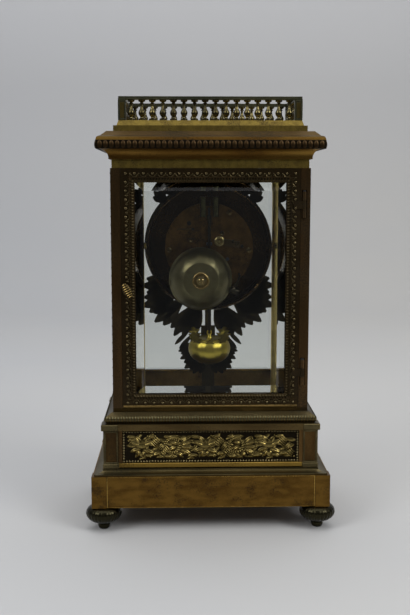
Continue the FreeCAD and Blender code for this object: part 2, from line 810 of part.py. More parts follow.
def make_door(label, glass_label, latch_label, side):
    """One glazed door. Side is +1 for the rear door and -1 for the front door, turned half round."""
    half_wide = door_half_wide()
    low = floor_top + size.door_gap
    half_high = (body_top - size.door_gap - low) / 2
    outward = Vector(0, side, 0)
    middle = (0, side * (body_deep / 2 - size.door_thick), low + half_high)
    frame = make_frame_ring(f"{label}_ring", half_wide, half_high, size.door_thick, outward, middle)
    make_glass(glass_label, half_wide, half_high, size.door_thick, outward, middle)

    axis_x = -side * (half_wide + size.hinge_offset)
    face = side * body_deep / 2
    third = size.hinge_length / 3
    leaf_reach = size.hinge_offset + size.door_border / 2
    leaf_x = -side * (half_wide + size.hinge_offset - leaf_reach / 2)
    added = []
    bores = []
    for low_end in hinge_heights():
        knuckle_low = low_end + third + size.knuckle_gap
        knuckle_long = third - 2 * size.knuckle_gap
        added.append(rod(f"{label}_knuckle", size.hinge_radius, knuckle_long, axis_x, face, knuckle_low, "Z"))
        added.append(block(f"{label}_leaf", leaf_reach, size.hinge_leaf_thick, knuckle_long, leaf_x,
                           face + side * size.hinge_leaf_thick / 2, knuckle_low))
        bores.append(rod(f"{label}_bore", size.hinge_pin_radius + size.running_clear, size.hinge_length,
                         axis_x, face, low_end, "Z"))
    latch_x = side * (half_wide - size.latch_inset)
    spindle_start = -body_deep if side < 0 else 0
    bores.append(rod(f"{label}_spindle_hole", size.latch_spindle_radius + size.running_clear, body_deep,
                     latch_x, spindle_start, low + half_high))
    node(cut(label, fuse(f"{label}_parts", [frame, *added]), bores), label)
    make_latch(latch_label, latch_x, low + half_high, side)


def make_latch(label, x, z, side):
    """Oval turn knob on a spindle through the stile, with a tongue that turns behind the post."""
    face = body_deep / 2
    tongue_top = face - size.post_width - size.door_gap
    spindle_low = tongue_top - size.tongue_thick
    knob_low = face + size.leaf_rise + size.latch_neck
    spindle_long = knob_low - spindle_low
    start = spindle_low if side > 0 else -knob_low
    spindle = rod(f"{label}_spindle", size.latch_spindle_radius, spindle_long, x, start, z)
    tongue_y = side * (tongue_top - size.tongue_thick / 2)
    tongue = block(f"{label}_tongue", size.tongue_width, size.tongue_thick, size.tongue_length, x, tongue_y,
                   z - size.tongue_length + size.tongue_width / 2)
    knob = doc.addObject("Part::Ellipsoid", f"{label}_knob")
    bind(knob, "Radius1", size.latch_thick / 2 + size.latch_neck / 2)
    bind(knob, "Radius2", size.latch_length / 2)
    bind(knob, "Radius3", size.latch_width / 2)
    put(knob, x, side * (knob_low + size.latch_thick / 4), z,
        Rotation(Vector(0, 1, 0), LATCH_TILT) * facing(Vector(0, side, 0)) * Rotation(UP, 90))
    node(fuse(label, [spindle, tongue, knob]), label)


def make_glazed_body():
    """Floor, corner posts with their hinge knuckles, side frames, doors, latches and hinge pins."""
    node(block("floor_plate", body_wide, body_deep, size.floor_thick, z=body_low), "floor_plate")
    post_high = body_top - floor_top
    half_x = body_wide / 2 - size.post_width / 2
    half_y = body_deep / 2 - size.post_width / 2
    axis_x = door_half_wide() + size.hinge_offset
    third = size.hinge_length / 3
    parts = []
    pins = []
    for sx in (-1, 1):
        for sy in (-1, 1):
            post = block("post", size.post_width, size.post_width, post_high, sx * half_x, sy * half_y,
                         floor_top)
            if sx * sy > 0:
                parts.append(post)
                continue
            slot_high = size.hinge_length + size.hinge_head_height + size.knuckle_gap
            slots = [rod("post_slot", size.hinge_radius + size.hinge_slot_clear, slot_high, sx * axis_x,
                         sy * body_deep / 2, low, "Z") for low in hinge_heights()]
            knuckles = [rod("post_knuckle", size.hinge_radius, third, sx * axis_x, sy * body_deep / 2,
                            low + step * third, "Z") for low in hinge_heights() for step in (0, 2)]
            tie_deep = size.hinge_radius + size.hinge_slot_clear
            ties = [block("post_tie", size.hinge_radius, tie_deep, third, sx * axis_x,
                          sy * (body_deep - tie_deep) / 2, low + step * third)
                    for low in hinge_heights() for step in (0, 2)]
            bores = [rod("post_bore", size.hinge_pin_radius, size.hinge_length, sx * axis_x,
                         sy * body_deep / 2, low, "Z") for low in hinge_heights()]
            slotted = cut("post_slotted", post, slots)
            parts.append(cut("post_hinged", fuse("post_knuckled", [slotted, *knuckles, *ties]), bores))
            for low in hinge_heights():
                shank = rod("pin_shank", size.hinge_pin_radius, size.hinge_length, sx * axis_x,
                            sy * body_deep / 2, low, "Z")
                head = rod("pin_head", size.hinge_head_radius, size.hinge_head_height, sx * axis_x,
                           sy * body_deep / 2, low + size.hinge_length, "Z")
                pins.append(fuse("hinge_pin", [shank, head]))
    group("corner_posts", parts)
    group("hinge_pins", pins)

    half_run = body_deep / 2 - size.post_width
    half_high = (body_top - floor_top) / 2
    for label, glass_label, out in (("side_frame_left", "side_glass_left", -1),
                                    ("side_frame_right", "side_glass_right", 1)):
        outward = Vector(out, 0, 0)
        middle = (out * (body_wide / 2 - size.side_thick), 0, floor_top + half_high)
        node(make_frame_ring(label, half_run, half_high, size.side_thick, outward, middle), label)
        make_glass(glass_label, half_run, half_high, size.side_thick, outward, middle)
    make_door("rear_door_frame", "rear_glass", "rear_latch", 1)
    make_door("front_door_frame", "front_glass", "front_latch", -1)


def group(label, parts):
    """A node of several separate solids."""
    compound = doc.addObject("Part::Compound", label)
    compound.Links = parts
    return node(compound, label)


def make_top():
    """Architrave, cornice, attic and the gallery of balusters."""
    inset = size.architrave_inset
    node(ring_box("architrave", body_wide - 2 * inset, body_deep - 2 * inset, size.architrave_height,
                  size.architrave_wall, body_top), "architrave")
    wall = body_deep / 2 + dial_back - size.upright_clear
    inner_wide = body_wide / 2 - wall
    inner_deep = body_deep / 2 - wall
    fillet = wall + size.cornice_fillet_spread
    cove = wall + size.cavetto_spread
    edge = wall + size.cornice_spread
    cove_top = size.cornice_fillet + size.cavetto_height
    edge_top = cove_top + size.cornice_edge_height
    ease = size.cornice_ease
    cove_radius = (size.cavetto_spread - size.cornice_fillet_spread + size.cavetto_height) / 2 + ease
    node(moulding("cornice", inner_wide, inner_deep, [
        (0, 0), (fillet, 0), (fillet, size.cornice_fillet, -cove_radius), (cove, cove_top),
        (edge - ease, cove_top, size.cornice_edge_height), (edge, edge_top - ease), (edge - ease, edge_top),
        (edge - size.cornice_drip, edge_top + ease), (wall + size.cornice_slope_spread, cornice_height),
        (0, cornice_height)],
        z=architrave_top), "cornice")

    lower_wide = body_wide - 2 * size.attic_inset
    lower_deep = body_deep - 2 * size.attic_inset
    upper_wide = body_wide - 2 * size.attic_upper_inset
    upper_deep = body_deep - 2 * size.attic_upper_inset
    gallery_wide = body_wide - 2 * size.gallery_inset
    gallery_deep = body_deep - 2 * size.gallery_inset
    step = block("attic_step", lower_wide, lower_deep, size.attic_step_height, z=cornice_top)
    slope = doc.addObject("Part::Wedge", "attic_slope")
    for prop, value in (("Xmin", -upper_wide / 2), ("Xmax", upper_wide / 2), ("Zmin", -upper_deep / 2),
                        ("Zmax", upper_deep / 2), ("X2min", -gallery_wide / 2), ("X2max", gallery_wide / 2),
                        ("Z2min", -gallery_deep / 2), ("Z2max", gallery_deep / 2)):
        bind(slope, prop, value)
    bind(slope, "Ymin", 0.0)
    bind(slope, "Ymax", size.attic_slope_height)
    put(slope, 0, 0, cornice_top + size.attic_step_height, Rotation(Vector(1, 0, 0), 90))
    attic_high = attic_top - cornice_top
    hollow = block("attic_hollow", gallery_wide - 2 * size.attic_wall, 2 * (size.upright_clear - dial_back),
                   attic_high - size.attic_skin, z=cornice_top)
    node(cut("attic", fuse("attic_casting", [step, slope]), [hollow]), "attic")

    rail_low = gallery_top - size.gallery_rail_height
    node(ring_box("gallery_rail", gallery_wide, gallery_deep, size.gallery_rail_height,
                  size.gallery_rail_width, rail_low), "gallery_rail")
    post_high = size.gallery_height - size.gallery_rail_height
    post_x = gallery_wide / 2 - size.gallery_post_width / 2
    post_y = gallery_deep / 2 - size.gallery_post_width / 2
    group("gallery_posts", [block("gallery_post", size.gallery_post_width, size.gallery_post_width, post_high,
                                  sx * post_x, sy * post_y, attic_top) for sx in (-1, 1) for sy in (-1, 1)])
    full = size.baluster_radius
    neck = size.baluster_neck_radius
    foot = size.baluster_foot
    slope_end = foot + size.baluster_slope
    collar_end = slope_end + size.baluster_collar
    baluster = lathe("baluster_master", [
        (0, 0), (full, 0), (full, foot), (neck, slope_end), (neck, collar_end, post_high * LOWER_BOW),
        (full, post_high * BELLY_HEIGHT, post_high * UPPER_BOW), (neck, post_high - collar_end),
        (neck, post_high - slope_end), (full, post_high - foot), (full, post_high), (0, post_high)],
        z=attic_top)
    span_x = float(gallery_wide - 2 * size.gallery_post_width)
    span_y = float(gallery_deep - 2 * size.gallery_post_width)
    places = []
    for span, other, along_x in ((span_x, float(post_y), True), (span_y, float(post_x), False)):
        count = max(1, round(span / float(size.baluster_pitch)))
        for index in range(count):
            run = (index + 0.5) * span / count - span / 2
            for across in (-other, other):
                places.append(Vector(run, across, 0) if along_x else Vector(across, run, 0))
    copies("gallery_balusters", baluster, places)


# Arbor places, as (x, height above the drum's centre), seen from the front.
def meet(first, first_reach, second, second_reach, sign):
    """The point at two given distances from two points; the sign picks the side."""
    gap = second - first
    distance = gap.Length
    along = (first_reach ** 2 - second_reach ** 2 + distance ** 2) / (2 * distance)
    off = math.sqrt(first_reach ** 2 - along ** 2)
    direction = gap / distance
    return first + direction * along + Vector(-direction.y, direction.x, 0) * off * sign


def polar(radius, degrees):
    """The point at a radius and an angle from the X axis."""
    turn = math.radians(degrees)
    return Vector(math.cos(turn), math.sin(turn), 0) * float(radius)


def depthing(module, *teeth):
    """Distance between the centres of two meshing wheels."""
    return float(module) * sum(teeth) / 2


CENTRE = Vector(0, 0, 0)
ANCHOR = Vector(0, float(anchor_rise), 0)
ESCAPE = Vector(0, float(escape_rise), 0)
GOING_BARREL = Vector(float(barrel_spacing), -float(size.barrel_drop), 0)
STRIKE_BARREL = Vector(-float(barrel_spacing), -float(size.barrel_drop), 0)
INTERMEDIATE = meet(CENTRE, depthing(size.train_module, CENTRE_PINION, INTERMEDIATE_TEETH), GOING_BARREL,
                    depthing(size.train_module, BARREL_TEETH, INTERMEDIATE_PINION), 1)
THIRD = meet(CENTRE, float(centre_reach), ESCAPE, float(escape_reach), 1)
PIN_WHEEL = meet(CENTRE, depthing(size.train_module, CENTRE_PINION, INTERMEDIATE_TEETH), STRIKE_BARREL,
                 depthing(size.train_module, BARREL_TEETH, PIN_WHEEL_PINION), 1)
MOTION_REACH = depthing(size.train_module, CANNON_TEETH, MINUTE_TEETH)
MINUTE_STUD = Vector(0, MOTION_REACH, 0)
HOUR_MODULE = 2 * MOTION_REACH / (MINUTE_PINION + HOUR_TEETH)
BELL = Vector(float(size.bell_side), -float(size.bell_drop), 0)
STRIKE_WAY = polar(1, float(size.hammer_angle))
HAMMER_HEAD = BELL + STRIKE_WAY * float(size.bell_radius + size.hammer_clear + size.hammer_head_length / 2)
HAMMER = polar(plate_radius - size.hammer_inset, HAMMER_PIVOT_ANGLE)
PILLARS = [polar(plate_radius - size.pillar_inset, angle) for angle in PILLAR_ANGLES]


def at(point, y):
    """A place in the clock for a point of the train layout at a depth y."""
    return Vector(point.x, float(y), point.y + float(drum_height))


def level(distance):
    """Depth of a train level, measured back from the inside of the front plate."""
    return float(front_plate_back + distance)


def tooth_face(teeth, module, addendum, dedendum, share, phase):
    """A toothed outline about the origin, in the XZ plane, with one tooth centred at the phase angle."""
    pitch_radius = teeth * float(module) / 2
    tip = pitch_radius + addendum * float(module)
    root = pitch_radius - dedendum * float(module)
    half = share * math.pi / teeth
    points = []
    for index in range(teeth):
        middle = phase + index * 2 * math.pi / teeth
        for radius, offset in ((root, -ROOT_SHARE), (pitch_radius, -1), (tip, -TIP_SHARE), (tip, TIP_SHARE),
                               (pitch_radius, 1), (root, ROOT_SHARE)):
            angle = middle + offset * half
            points.append(Vector(radius * math.cos(angle), 0, radius * math.sin(angle)))
    return Part.Face(Part.makePolygon(points + points[:1]))


def wheel(teeth, module, point, y, thick, phase=0.0):
    """A toothed wheel with its front face at depth y."""
    face = tooth_face(teeth, module, WHEEL_ADDENDUM, WHEEL_DEDENDUM, WHEEL_TOOTH_SHARE, phase)
    face.translate(at(point, y))
    return face.extrude(Vector(0, thick, 0))


def pinion(teeth, module, point, y, thick, phase=0.0):
    """A toothed pinion with its front face at depth y."""
    face = tooth_face(teeth, module, PINION_ADDENDUM, PINION_DEDENDUM, PINION_TOOTH_SHARE, phase)
    face.translate(at(point, y))
    return face.extrude(Vector(0, thick, 0))


def mesh_phase(here, teeth, phase, there, other_teeth):
    """The phase that puts a gap of the other wheel opposite this wheel's tooth."""
    angle = math.atan2(there.y - here.y, there.x - here.x)
    lead = (angle - phase) * teeth / (2 * math.pi) % 1
    other_lead = (0.5 - lead) % 1
    return angle + math.pi - 2 * math.pi * other_lead / other_teeth


def arbor(point, start, end, radius):
    """A round arbor between two depths."""
    return Part.makeCylinder(float(radius), float(end) - float(start), at(point, start), Vector(0, 1, 0))


def train_node(label, shapes):
    """One arbor with all that is fixed on it, joined into one solid."""
    return solid_node(label, shapes[0].fuse(shapes[1:]).removeSplitter())


def make_plates():
    """Front and back plates with their pivot holes, and the pillars between them."""
    pivots = [INTERMEDIATE, THIRD, ESCAPE, PIN_WHEEL]
    through = size.arbor_radius + size.running_clear
    winding = size.winding_radius + size.running_clear
    wide_holes = [(CENTRE, through), (GOING_BARREL, winding), (STRIKE_BARREL, winding), (ANCHOR, through),
                  (HAMMER, through)]
    for label, start in (("front_plate", front_plate_face), ("back_plate", back_plate_front)):
        disc = rod(f"{label}_disc", plate_radius, size.plate_thick, 0, start, drum_height)
        holes = [rod(f"{label}_hole", radius, size.plate_thick, point.x, start, drum_height + point.y)
                 for point, radius in wide_holes + [(pivot, through) for pivot in pivots]]
        node(cut(label, disc, holes), label)
    group("plate_pillars", [rod("pillar", size.pillar_radius, plate_gap, point.x, front_plate_back,
                                drum_height + point.y) for point in PILLARS])


def make_going_train():
    """Barrel, intermediate, centre, third and escape wheels, each with its arbor and pinion."""
    thick = float(size.wheel_thick)
    extra = size.pinion_extra
    long = float(pinion_long)
    front = front_plate_face
    back = back_plate_face
    third_phase = mesh_phase(CENTRE, CENTRE_TEETH, 0, THIRD, THIRD_PINION)
    escape_phase = mesh_phase(THIRD, THIRD_TEETH, 0, ESCAPE, ESCAPE_PINION)
    intermediate_phase = mesh_phase(CENTRE, CENTRE_PINION, 0, INTERMEDIATE, INTERMEDIATE_TEETH)
    barrel_phase = mesh_phase(INTERMEDIATE, INTERMEDIATE_PINION, 0, GOING_BARREL, BARREL_TEETH)
    hand_end = dial_front - hand_room + size.glass_gap
    train_node("centre_wheel", [
        arbor(CENTRE, hand_end, back, size.arbor_radius),
        wheel(CENTRE_TEETH, size.fine_module, CENTRE, level(centre_level), thick),
        pinion(CENTRE_PINION, size.train_module, CENTRE, level(intermediate_level - extra), long),
        pinion(CANNON_TEETH, size.train_module, CENTRE, cannon_y, long)])
    train_node("intermediate_wheel", [
        arbor(INTERMEDIATE, front, back, size.arbor_radius),
        wheel(INTERMEDIATE_TEETH, size.train_module, INTERMEDIATE, level(intermediate_level), thick,
              intermediate_phase),
        pinion(INTERMEDIATE_PINION, size.train_module, INTERMEDIATE, level(great_level - extra), long)])
    make_barrel("going_barrel", "going_arbor", GOING_BARREL, barrel_phase)
    train_node("third_wheel", [
        arbor(THIRD, front, back, size.arbor_radius),
        wheel(THIRD_TEETH, size.escape_module, THIRD, level(third_level), thick),
        pinion(THIRD_PINION, size.fine_module, THIRD, level(centre_level - extra), long, third_phase)])
    train_node("escape_wheel", [
        arbor(ESCAPE, front, back, size.arbor_radius),
        escape_shape().extrude(Vector(0, thick, 0)),
        pinion(ESCAPE_PINION, size.escape_module, ESCAPE, level(third_level - extra), long, escape_phase)])


def escape_shape():
    """The escape wheel's outline of raked pointed teeth."""
    tip = float(size.escape_radius)
    root = tip * ESCAPE_ROOT_SHARE
    points = []
    for index in range(ESCAPE_TEETH):
        angle = index * 2 * math.pi / ESCAPE_TEETH
        for radius, lean in ((root, ESCAPE_ROOT_LEAD), (tip, 0.0), (tip, ESCAPE_TIP_LAND),
                             (root, ESCAPE_ROOT_TRAIL)):
            points.append(Vector(radius * math.cos(angle + lean), 0, radius * math.sin(angle + lean)))
    face = Part.Face(Part.makePolygon(points + points[:1]))
    face.translate(at(ESCAPE, level(great_level)))
    return face


def make_barrel(label, arbor_label, point, phase):
    """A spring barrel with its great wheel, and the winding arbor that it turns on."""
    drum = arbor(point, level(barrel_level), level(great_level), barrel_radius)
    teeth = wheel(BARREL_TEETH, size.train_module, point, level(great_level), float(size.wheel_thick), phase)
    bore = arbor(point, front_plate_face, back_plate_face, size.winding_radius + size.running_clear)
    solid_node(label, drum.fuse(teeth).cut(bore).removeSplitter())
    square = float(size.winding_square)
    square_end = float(dial_front + size.winding_sink)
    shoulder = float(front_plate_face - size.winding_shoulder)
    corner = at(point, square_end) - Vector(square / 2, 0, square / 2)
    train_node(arbor_label, [
        arbor(point, shoulder, back_plate_face, size.winding_radius),
        Part.makeBox(square, shoulder - square_end, square, corner)])


def make_strike_train():
    """Strike barrel, pin wheel and hammer."""
    thick = float(size.wheel_thick)
    pin_phase = mesh_phase(STRIKE_BARREL, BARREL_TEETH, 0, PIN_WHEEL, PIN_WHEEL_PINION)
    make_barrel("strike_barrel", "strike_arbor", STRIKE_BARREL, 0)
    shapes = [arbor(PIN_WHEEL, front_plate_face, back_plate_face, size.arbor_radius),
              wheel(PIN_WHEEL_TEETH, size.fine_module, PIN_WHEEL, level(intermediate_level), thick),
              pinion(PIN_WHEEL_PINION, size.train_module, PIN_WHEEL, level(great_level - size.pinion_extra),
                     float(pinion_long), pin_phase)]
    for index in range(PIN_COUNT):
        angle = 2 * math.pi * index / PIN_COUNT
        place = PIN_WHEEL + Vector(math.cos(angle), math.sin(angle), 0) * float(size.pin_circle)
        pin_start = level(intermediate_level) + thick / 2
        shapes.append(arbor(place, pin_start, pin_start + float(size.pin_length), size.pin_radius))
    train_node("pin_wheel", shapes)

    arm_y = float(bell_rim + size.hammer_depth)
    arm_thick = float(size.hammer_bar_thick)
    head_start = HAMMER_HEAD - STRIKE_WAY * float(size.hammer_head_length / 2)
    head = Part.makeCylinder(float(size.hammer_head_radius), float(size.hammer_head_length),
                             at(head_start, arm_y), Vector(STRIKE_WAY.x, 0, STRIKE_WAY.y))
    tail_gap = float(size.pin_circle + size.pin_radius + size.tail_gap)
    tail_end = PIN_WHEEL - (PIN_WHEEL - HAMMER).normalize() * tail_gap
    tail_y = level(intermediate_level + size.wheel_thick + size.pinion_extra)
    arm = bar(HAMMER, HAMMER_HEAD, arm_y - arm_thick / 2, arm_thick, float(size.hammer_bar_width))
    tail = bar(HAMMER, tail_end, tail_y, float(size.tail_thick), float(size.tail_width))
    pivot = arbor(HAMMER, front_plate_face, arm_y + arm_thick / 2, size.arbor_radius)
    train_node("hammer", [pivot, arm, head, tail])


def bar(first, second, y, thick, wide):
    """A flat bar between two points of the layout, with rounded ends."""
    along = second - first
    side = Vector(-along.y, along.x, 0).normalize() * (wide / 2)
    corners = [at(point, y) for point in (first + side, second + side, second - side, first - side)]
    body = Part.Face(Part.makePolygon(corners + corners[:1])).extrude(Vector(0, thick, 0))
    ends = [arbor(point, y, y + thick, wide / 2) for point in (first, second)]
    return body.fuse(ends).removeSplitter()


def make_motion_work():
    """Minute wheel and hour wheel in front of the front plate, and the two hands."""
    thick = float(size.wheel_thick)
    extra = float(size.pinion_extra)
    minute_y = float(cannon_y + size.pinion_extra)
    hour_y = minute_y - thick - extra - float(size.motion_gap)
    minute_phase = mesh_phase(CENTRE, CANNON_TEETH, 0, MINUTE_STUD, MINUTE_TEETH)
    hour_phase = mesh_phase(MINUTE_STUD, MINUTE_PINION, 0, CENTRE, HOUR_TEETH)
    train_node("minute_wheel", [
        arbor(MINUTE_STUD, hour_y - extra, front_plate_face - size.plate_clear, size.arbor_radius),
        wheel(MINUTE_TEETH, size.train_module, MINUTE_STUD, minute_y, thick, minute_phase),
        pinion(MINUTE_PINION, HOUR_MODULE, MINUTE_STUD, hour_y - extra, float(pinion_long))])
    hand_thick = float(size.hand_thick)
    pipe_radius = float(size.arbor_radius + size.pipe_wall)
    hour_hand_y = float(dial_front - size.hour_hand_gap) - hand_thick
    pipe_end = hour_hand_y - float(size.pipe_proud)
    bore = arbor(CENTRE, pipe_end, front_plate_face, size.arbor_radius + size.running_clear)
    pipe = arbor(CENTRE, pipe_end, hour_y + thick, pipe_radius)
    gear = wheel(HOUR_TEETH, HOUR_MODULE, CENTRE, hour_y, thick, hour_phase)
    solid_node("hour_wheel", gear.fuse(pipe).cut(bore).removeSplitter())
    minute_hand_y = pipe_end - float(size.hand_gap) - hand_thick
    minute_length = float(sight_radius - size.hand_reach_gap)
    make_hand("hour_hand", float(size.hour_hand_length), HOUR_ANGLE, hour_hand_y, pipe_radius)
    make_hand("minute_hand", minute_length, MINUTE_ANGLE, minute_hand_y, float(size.arbor_radius))


def make_hand(label, length, angle, y, bore_radius):
    """A pierced hand: hub, slim stem, ring and pointed tip, pointing to a clockwise angle from the top."""
    thick = float(size.hand_thick)
    hub = bore_radius + float(size.hand_hub_wall)
    ring = float(size.hand_ring_wall)
    wide = float(size.hand_width)
    eye = length * HAND_EYE
    stem = wide / 3
    outer = [Part.makeCylinder(hub, thick, Vector(), UP),
             Part.makeBox(eye - wide / 2 + stem / 2, stem, thick, Vector(0, -stem / 2, 0)),
             Part.makeCylinder(wide / 2, thick, Vector(eye, 0, 0), UP)]
    tip = leaf_face(length - eye - wide / 2 + ring, wide * HAND_TIP).extrude(Vector(0, 0, thick))
    tip.translate(Vector(eye + wide / 2 - ring, 0, 0))
    shape = outer[0].fuse(outer[1:] + [tip])
    shape = shape.cut(Part.makeCylinder(wide / 2 - ring, thick, Vector(eye, 0, 0), UP))
    shape = shape.cut(Part.makeCylinder(bore_radius, thick, Vector(), UP)).removeSplitter()
    turn = Rotation(Vector(0, 1, 0), angle - 90) * Rotation(Vector(1, 0, 0), 90)
    solid_node(label, shape, FreeCAD.Placement(at(CENTRE, y + thick), turn))


def make_escapement():
    """Anchor with its arbor and crutch, suspension cock, suspension spring, pendulum rod and bob."""
    reach = float(size.escape_radius + size.pallet_clear)
    arm = float(size.anchor_arm_width)
    tips = [ESCAPE + polar(reach + arm / 2, 90 + side * PALLET_LEAN) for side in (-1, 1)]
    shoulders = [Vector(tip.x, ANCHOR.y - arm, 0) for tip in tips]
    anchor_y = level(great_level)
    crutch_y = float(back_plate_face + size.crutch_gap)
    fork = ANCHOR - Vector(0, float(size.crutch_length), 0)
    fork_reach = float(size.rod_radius + size.fork_clear)
    prong = float(size.prong_width)
    fork_high = float(size.fork_height)
    prong_long = float(size.pendulum_offset + size.rod_radius - size.crutch_gap)
    shapes = [arbor(ANCHOR, front_plate_face, crutch_y + float(size.crutch_thick), size.arbor_radius)]
    for start, end in [(ANCHOR, shoulder) for shoulder in shoulders] + list(zip(shoulders, tips)):
        shapes.append(bar(start, end, anchor_y, float(size.wheel_thick), arm))
    shapes.append(bar(ANCHOR, fork, crutch_y, float(size.crutch_thick), float(size.crutch_width)))
    shapes.append(Part.makeBox(2 * (fork_reach + prong), float(size.crutch_thick), fork_high,
                               at(fork, crutch_y) - Vector(fork_reach + prong, 0, fork_high / 2)))
    for side in (-1, 1):
        corner = at(fork, crutch_y) + Vector(side * (fork_reach + prong / 2) - prong / 2, 0, -fork_high / 2)
        shapes.append(Part.makeBox(prong, prong_long, fork_high, corner))
    train_node("anchor", shapes)

    axis_z = drum_height + anchor_rise
    cock_low = axis_z - size.cock_height / 2 + size.cock_lift
    cheeks = block("cock_body", size.cock_width, cock_depth, size.cock_height, 0,
                   back_plate_face + cock_depth / 2, cock_low)
    slot = block("cock_slot", size.spring_slot, size.spring_width + 2 * size.spring_clear,
                 size.cock_height - size.cock_roof, 0, rod_y, cock_low)
    mouth = block("cock_mouth", size.cock_mouth_width, cock_depth, size.cock_mouth_height, 0,
                  back_plate_face + cock_depth / 2, cock_low)
    node(cut("suspension_cock", cheeks, [slot, mouth]), "suspension_cock")

    spring_low = axis_z - size.spring_length / 2
    spring = block("suspension_spring", size.spring_thick, size.spring_width, size.spring_length, 0, rod_y,
                   spring_low)
    node(spring, "suspension_spring")
    hook = block("rod_hook", size.hook_size, size.hook_size, size.hook_size, 0, rod_y,
                 spring_low - size.hook_size)
    bob_middle = axis_z - pendulum_length
    rod_low = bob_middle + size.bob_height / 2
    stem = rod("rod_stem", size.rod_radius, spring_low - rod_low, 0, rod_y, rod_low, "Z")
    node(fuse("pendulum_rod", [hook, stem]), "pendulum_rod")

    profile = []
    for out, up, *bow in BOB_PROFILE:
        bows = [share * size.bob_radius for share in bow]
        profile.append((out * size.bob_radius, up * size.bob_height, *bows))
    node(lathe("pendulum_bob", profile, 0, rod_y, bob_middle - size.bob_height / 2), "pendulum_bob")


def make_bell():
    """Bell on its stand behind the back plate, held by a nut."""
    bell_z = drum_height - size.bell_drop
    wall = size.bell_wall
    radius = size.bell_radius
    deep = size.bell_depth
    hole = size.bell_stand_radius + size.running_clear
    flat = size.bell_collar_radius + wall
    waist = radius - size.bell_rim_step
    shoulder = radius * BELL_SHOULDER
    bow = radius * BELL_BOW
    node(lathe("bell", [
        (radius - wall, 0), (radius, 0), (radius, deep * BELL_BAND_DEPTH),
        (waist, deep * BELL_STEP_DEPTH, bow), (shoulder, deep * BELL_SHOULDER_DEPTH), (flat, deep),
        (hole, deep), (hole, deep - wall),
        (flat, deep - wall), (shoulder - wall * BELL_INSIDE, deep * BELL_SHOULDER_DEPTH - wall, -bow),
        (waist - wall, deep * BELL_STEP_DEPTH)], size.bell_side, bell_rim, bell_z, "Y"), "bell")
    stud_long = size.bell_standoff + size.bell_depth + size.bell_nut_length + size.bell_stud_end
    stud = rod("stand_stud", size.bell_stand_radius, stud_long, size.bell_side, back_plate_face, bell_z)
    collar = rod("stand_collar", size.bell_collar_radius, size.bell_collar_thick, size.bell_side,
                 bell_crown - wall - size.bell_collar_thick, bell_z)
    foot = rod("stand_foot", size.bell_collar_radius, size.bell_collar_thick, size.bell_side, back_plate_face,
               bell_z)
    node(fuse("bell_stand", [stud, collar, foot]), "bell_stand")
    prism = doc.addObject("Part::Prism", "nut_blank")
    prism.Polygon = 6
    bind(prism, "Circumradius", size.bell_nut_radius)
    bind(prism, "Height", size.bell_nut_length)
    put(prism, size.bell_side, bell_crown, bell_z, Rotation(UP, Vector(0, 1, 0)))
    thread = rod("nut_thread", hole, size.bell_nut_length, size.bell_side, bell_crown, bell_z)
    node(cut("bell_nut", prism, [thread]), "bell_nut")


def make_drum_and_dial():
    """Drum, uprights, clamps, dial, bezel and the foliage surround."""
    outer = drum_radius
    inner = outer - size.drum_wall
    front = dial_back
    web_back = front_plate_face - front
    long = back_plate_face + size.drum_rear - front
    web_radius = plate_radius - size.drum_web_lap
    node(lathe("drum", [
        (inner, 0), (outer, 0), (outer, long), (inner, long), (inner, web_back),
        (web_radius, web_back), (web_radius, web_back - size.drum_web_thick),
        (inner, web_back - size.drum_web_thick)], 0, front, drum_height, "Y"), "drum")

    upright_x = drum_radius + size.drum_gap + size.upright_width / 2
    upright_high = attic_top - size.attic_skin - floor_top
    clamp_y = dial_back + size.upright_thick
    clamps = []
    for label, side in (("upright_left", -1), ("upright_right", 1)):
        node(block(label, size.upright_width, size.upright_thick, upright_high, side * upright_x,
                   dial_back + size.upright_thick / 2, floor_top), label)
        clamp_wide = size.drum_gap + size.upright_width
        lug = block("clamp_lug", clamp_wide, size.clamp_thick, size.clamp_height,
                    side * (drum_radius + clamp_wide / 2), clamp_y + size.clamp_thick / 2,
                    drum_height - size.clamp_height / 2)
        screw = rod("clamp_screw", size.clamp_screw_radius, size.clamp_thick / 2, side * upright_x,
                    clamp_y + size.clamp_thick, drum_height)
        clamps.append(fuse("clamp", [lug, screw]))
    group("drum_clamps", clamps)

    face = rod("dial_disc", inner + size.dial_margin, size.dial_thick, 0, dial_front, drum_height)
    pipe_hole = size.arbor_radius + size.pipe_wall + size.pipe_hole_clear
    holes = [rod("dial_hole", radius, size.dial_thick, point.x, dial_front, drum_height + point.y)
             for point, radius in ((CENTRE, pipe_hole), (GOING_BARREL, size.winding_hole_radius),
                                   (STRIKE_BARREL, size.winding_hole_radius))]
    node(cut("dial", face, holes), "dial")
    make_surround(inner)
    proud = size.bezel_proud
    lip = size.bezel_lip
    bezel_radius = drum_radius + size.bezel_lap
    node(lathe("bezel", [
        (sight_radius, proud), (sight_radius, proud - lip), (sight_radius + proud, lip),
        (drum_radius, 0), (bezel_radius - lip, lip), (bezel_radius, proud - lip), (bezel_radius, proud)],
        0, dial_front - proud, drum_height, "Y"), "bezel")


# Leaves of the surround on one side: angle from straight down, reach beyond the drum, leaf width.
SURROUND_LEAVES = ((8, 70.5, 30), (20, 53.5, 24), (27, 45.5, 22), (37, 44.5, 24), (52, 33.5, 26),
                   (66, 22.5, 18), (136, 20.5, 18), (150, 24.5, 16), (163, 18.5, 14))

# The pair of leaves at the surround's foot: length, width, lean from upright, lift above the floor.
FOOT_LEAF_LENGTH = 44
FOOT_LEAF_WIDTH = 18
FOOT_LEAF_LEAN = 78
FOOT_LEAF_LIFT = 9


